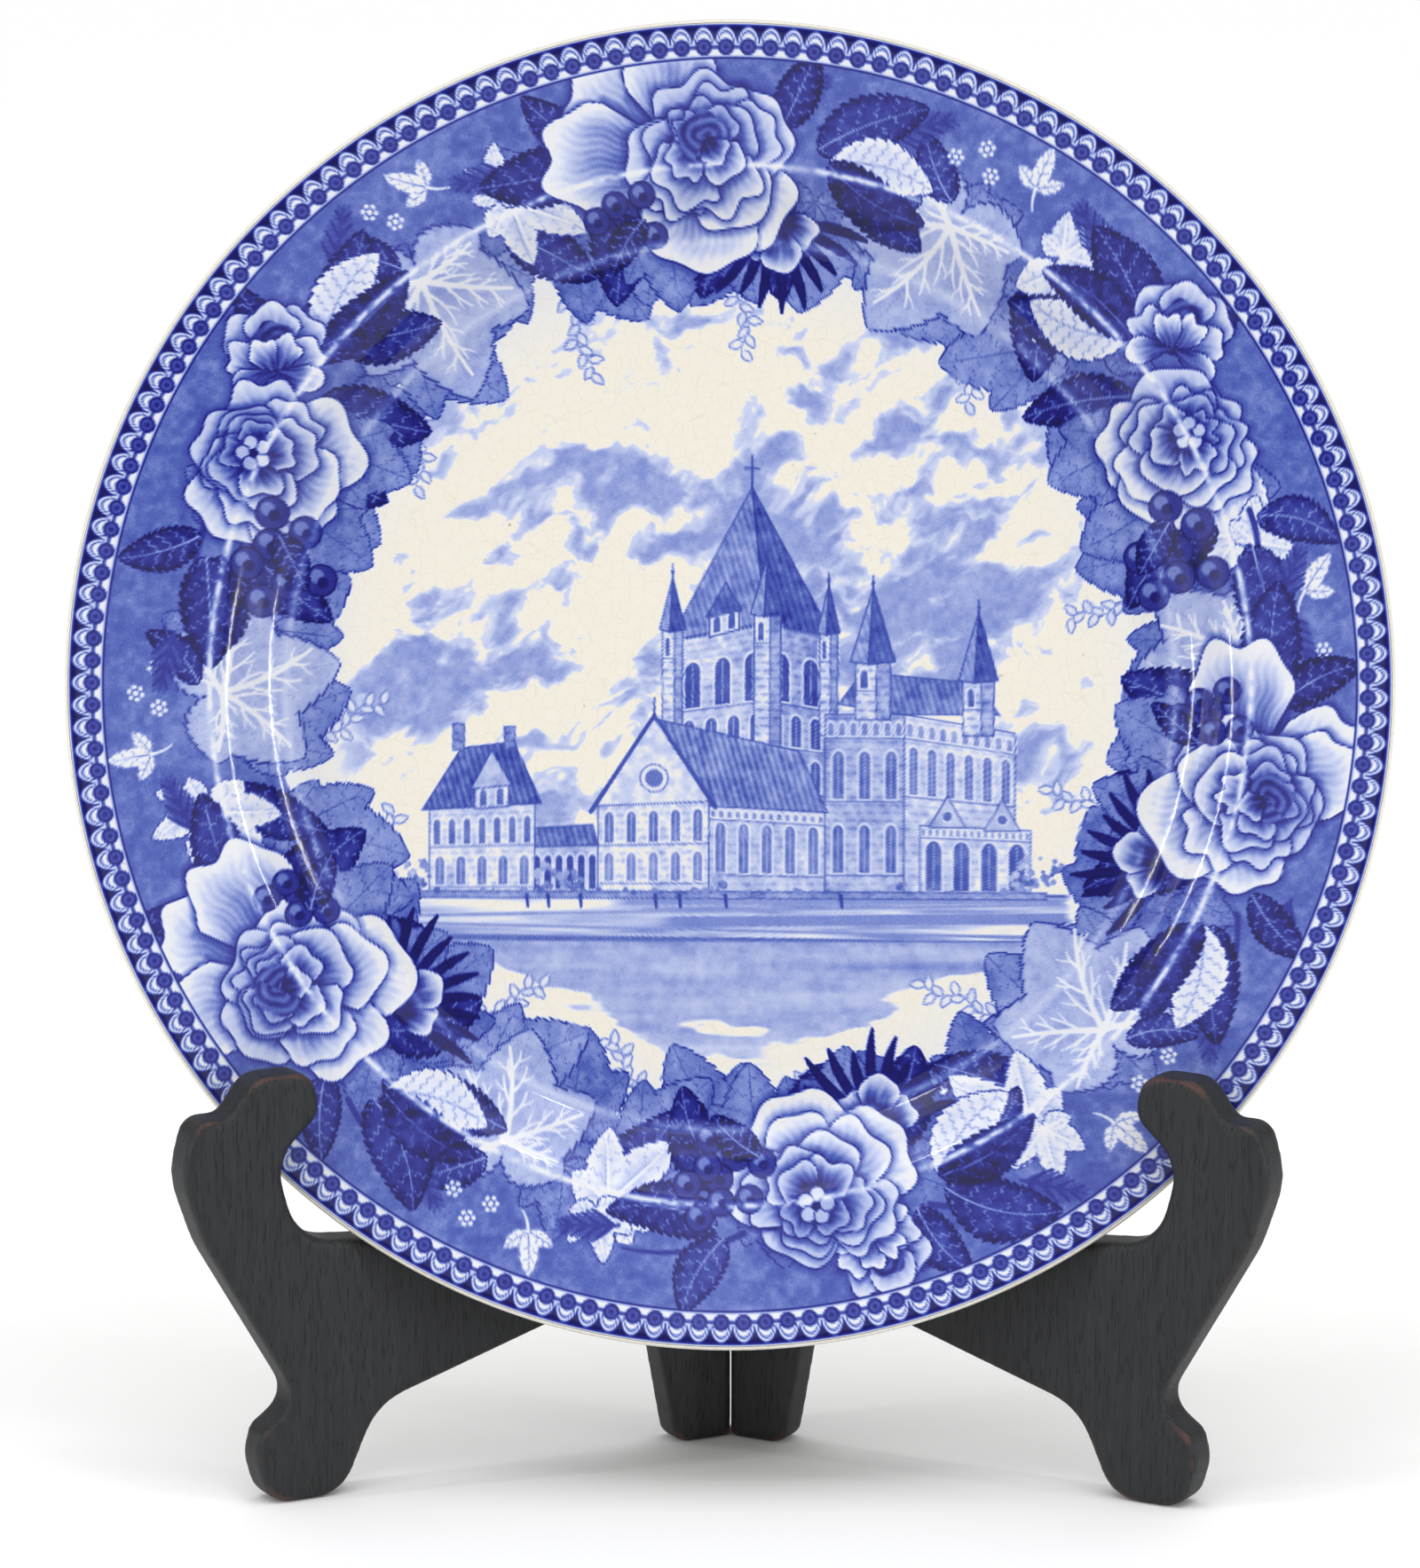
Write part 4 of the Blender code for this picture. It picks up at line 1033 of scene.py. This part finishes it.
def carved_board(node_name, body):
    """The board's solid, carved smooth, with rubbed arrises marked for the stain."""
    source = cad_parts[node_name].data.copy()
    merged = bmesh.new()
    merged.from_mesh(source)
    bmesh.ops.remove_doubles(merged, verts=merged.verts, dist=1e-6)
    merged.to_mesh(source)
    merged.free()
    work = bpy.data.objects.new("blank", source)
    bpy.context.scene.collection.objects.link(work)
    grid = work.modifiers.new("grid", "REMESH")
    grid.mode = "VOXEL"
    grid.voxel_size = CARVING_GRID
    graph = bpy.context.evaluated_depsgraph_get()
    mesh = bpy.data.meshes.new_from_object(work.evaluated_get(graph))
    bpy.data.objects.remove(work)
    ends = np.empty(len(mesh.edges) * 2, np.int32)
    mesh.edges.foreach_get("vertices", ends)
    first, second = ends.reshape(-1, 2).T

    def relaxed(points, rounds):
        count = np.bincount(first, minlength=len(points)) + np.bincount(second, minlength=len(points))
        for _ in range(rounds):
            total = np.zeros_like(points)
            for axis in range(3):
                total[:, axis] = (np.bincount(first, points[second, axis], len(points))
                                  + np.bincount(second, points[first, axis], len(points)))
            points = 0.5 * points + 0.5 * total / count[:, None]
        return points

    shape = relaxed(points_of(mesh), CARVING_ROUNDS)
    normals = np.empty(len(shape) * 3, np.float32)
    mesh.vertices.foreach_get("normal", normals)
    normals = normals.reshape(-1, 3)
    proud = ((shape - relaxed(shape, WEAR_ROUNDS)) * normals).sum(axis=1) / WEAR_DEPTH
    mesh.vertices.foreach_set("co", shape.astype(np.float32).ravel())
    mesh.update()
    mesh.shade_smooth()
    store(mesh, "rubbed", np.clip(proud, 0, 1))
    board = new_piece("carved_" + node_name, mesh, wood_finish, body)
    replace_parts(board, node_name)


def screw_place(node):
    """The middle of a screw's head, the direction it is driven in, and its length."""
    points = np.unique(np.round(points_of(node.data), 7), axis=0)
    centre = points.mean(axis=0)
    into = np.linalg.eigh(np.cov((points - centre).T))[1][:, 2]
    depth = (points - centre) @ into
    out = np.linalg.norm(points - centre - np.outer(depth, into), axis=1)
    if depth[out.argmax()] > 0:
        into, depth = -into, -depth
    return centre + into * depth.min(), into, depth.max() - depth.min()


def brass_screws(side):
    """All the screws of one board, in one mesh."""
    names = sorted(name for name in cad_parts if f"_{side}_screw" in name)
    heads, ways, lengths = zip(*[screw_place(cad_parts[name]) for name in names])
    long = min(lengths) / MM
    profile = [(0, 0), (1.12, 0), (1.28, -0.08), (1.3, -0.16), (0.8, -0.9), (0.74, -long + 1.5), (0, -long)]
    pattern = bpy.data.objects.new("screw_profile", chain_of("screw_profile", profile))
    places = bpy.data.meshes.new("screw_places")
    places.from_pydata([tuple(h) for h in heads], [], [])
    places.attributes.new("into", "FLOAT_VECTOR", "POINT").data.foreach_set("vector", np.concatenate(ways))
    name = side + "_screws"
    mesh = grown(name, places, screws, Profile=pattern, Sides=SCREW_SIDES, Finish=brass_finish)
    bpy.data.objects.remove(pattern)
    piece = new_piece(name, mesh, brass_finish, side + "_half")
    for node in names:
        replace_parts(piece, node)


lathe = lathe_tree()
screws = screws_tree(lathe)
where = PlateFrame(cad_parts["plate"])
turned_clay(where)
for number, (inner, outer) in enumerate(zip(SHELLS, SHELLS[1:]), 1):
    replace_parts(shell_of_print(f"printed_face_{number}", inner, outer, where), "plate")
carved_board("left_board", "left_half")
carved_board("right_board", "right_half")
brass_screws("left")
brass_screws("right")
for name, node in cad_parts.items():
    if name.endswith(("leaf", "pin")):
        node.data.materials.clear()
        node.data.materials.append(brass_finish)


# ---- Studio ----

WORLD_LIGHT = 0.3
SIDE_DAYLIGHT = 0.72
TOP_DAYLIGHT = 1.4
REAR_DAYLIGHT = 0.4
DAYLIGHT_SPREAD = math.radians(70)
STRIP_POWER = 4.0
STRIP_SIZE = 0.035, 0.9
SPOT_POWER = 0.8
SPOT_SIZE = 0.1, 0.1
CAMERA_DISTANCE = 1.5
CAMERA_LENS = 194.3
CAMERA_ELEVATION = math.radians(12)
CAMERA_AZIMUTH = math.radians(1)
AIM_LEFT = 0.0035                # the picture's middle is this far left of the plate's
AIM_BELOW = 0.0175               # and this far below it


def lamp(name, place, target, size, power):
    light = bpy.data.lights.new(name, "AREA")
    light.shape = "RECTANGLE"
    (light.size, light.size_y), light.energy = size, power
    made = bpy.data.objects.new(name, light)
    made.location = place
    made.rotation_euler = (Vector(target) - Vector(place)).to_track_quat("-Z", "Y").to_euler()
    bpy.context.scene.collection.objects.link(made)


def daylight(name, source, power):
    """Very soft light from one side, the same at any distance."""
    light = bpy.data.lights.new(name, "SUN")
    light.angle, light.energy = DAYLIGHT_SPREAD, power
    made = bpy.data.objects.new(name, light)
    made.rotation_euler = Vector(source).to_track_quat("Z", "Y").to_euler()
    bpy.context.scene.collection.objects.link(made)


def studio():
    scene = bpy.context.scene
    scene.view_settings.view_transform = "Standard"
    world = bpy.data.worlds.new("studio")
    world.use_nodes = True
    world.node_tree.nodes["Background"].inputs[0].default_value = (1, 1, 1, 1)
    world.node_tree.nodes["Background"].inputs[1].default_value = WORLD_LIGHT
    scene.world = world
    sheet = bpy.data.meshes.new("floor")
    sheet.from_pydata([(-9, -9, 0), (9, -9, 0), (9, 30, 0), (-9, 30, 0)], [], [(0, 1, 2, 3)])
    floor = bpy.data.objects.new("floor", sheet)
    scene.collection.objects.link(floor)
    paper = bpy.data.materials.new("white_table")
    paper.use_nodes = True
    paper.node_tree.nodes["Principled BSDF"].inputs["Base Color"].default_value = (0.93, 0.93, 0.93, 1)
    paper.node_tree.nodes["Principled BSDF"].inputs["Roughness"].default_value = 0.9
    floor.data.materials.append(paper)
    middle = tuple((cad_box[0] + cad_box[1]) / 2)
    lamp("left_strip", (-1.3, -0.5, 0.55), middle, STRIP_SIZE, STRIP_POWER)
    lamp("right_strip", (1.3, -0.6, 0.45), middle, STRIP_SIZE, STRIP_POWER)
    lamp("left_spot", (-0.55, -0.75, 1.5), middle, SPOT_SIZE, SPOT_POWER)
    lamp("right_spot", (0.45, -0.75, 1.5), middle, SPOT_SIZE, SPOT_POWER)
    daylight("left_daylight", (-0.55, -0.62, 0.6), SIDE_DAYLIGHT)
    daylight("right_daylight", (0.55, -0.62, 0.6), SIDE_DAYLIGHT)
    daylight("top_daylight", (0.0, 0.0, 1.0), TOP_DAYLIGHT)
    daylight("rear_daylight", (0.0, 0.9, 0.45), REAR_DAYLIGHT)
    return scene


def camera(scene, centre):
    """Slightly from above, with a long lens."""
    level = math.cos(CAMERA_ELEVATION)
    back = Vector((math.sin(CAMERA_AZIMUTH) * level, -math.cos(CAMERA_AZIMUTH) * level,
                   math.sin(CAMERA_ELEVATION)))
    data = bpy.data.cameras.new("camera")
    data.lens = CAMERA_LENS
    turned = bpy.data.objects.new("camera", data)
    turned.rotation_mode = "QUATERNION"
    turned.rotation_quaternion = (-back).to_track_quat("-Z", "Y")
    right = turned.rotation_quaternion @ Vector((1, 0, 0))
    up = turned.rotation_quaternion @ Vector((0, 1, 0))
    turned.location = Vector(centre) - right * AIM_LEFT - up * AIM_BELOW + back * CAMERA_DISTANCE
    scene.collection.objects.link(turned)
    scene.camera = turned


camera(studio(), where.foot + MM * 15 * where.axis)
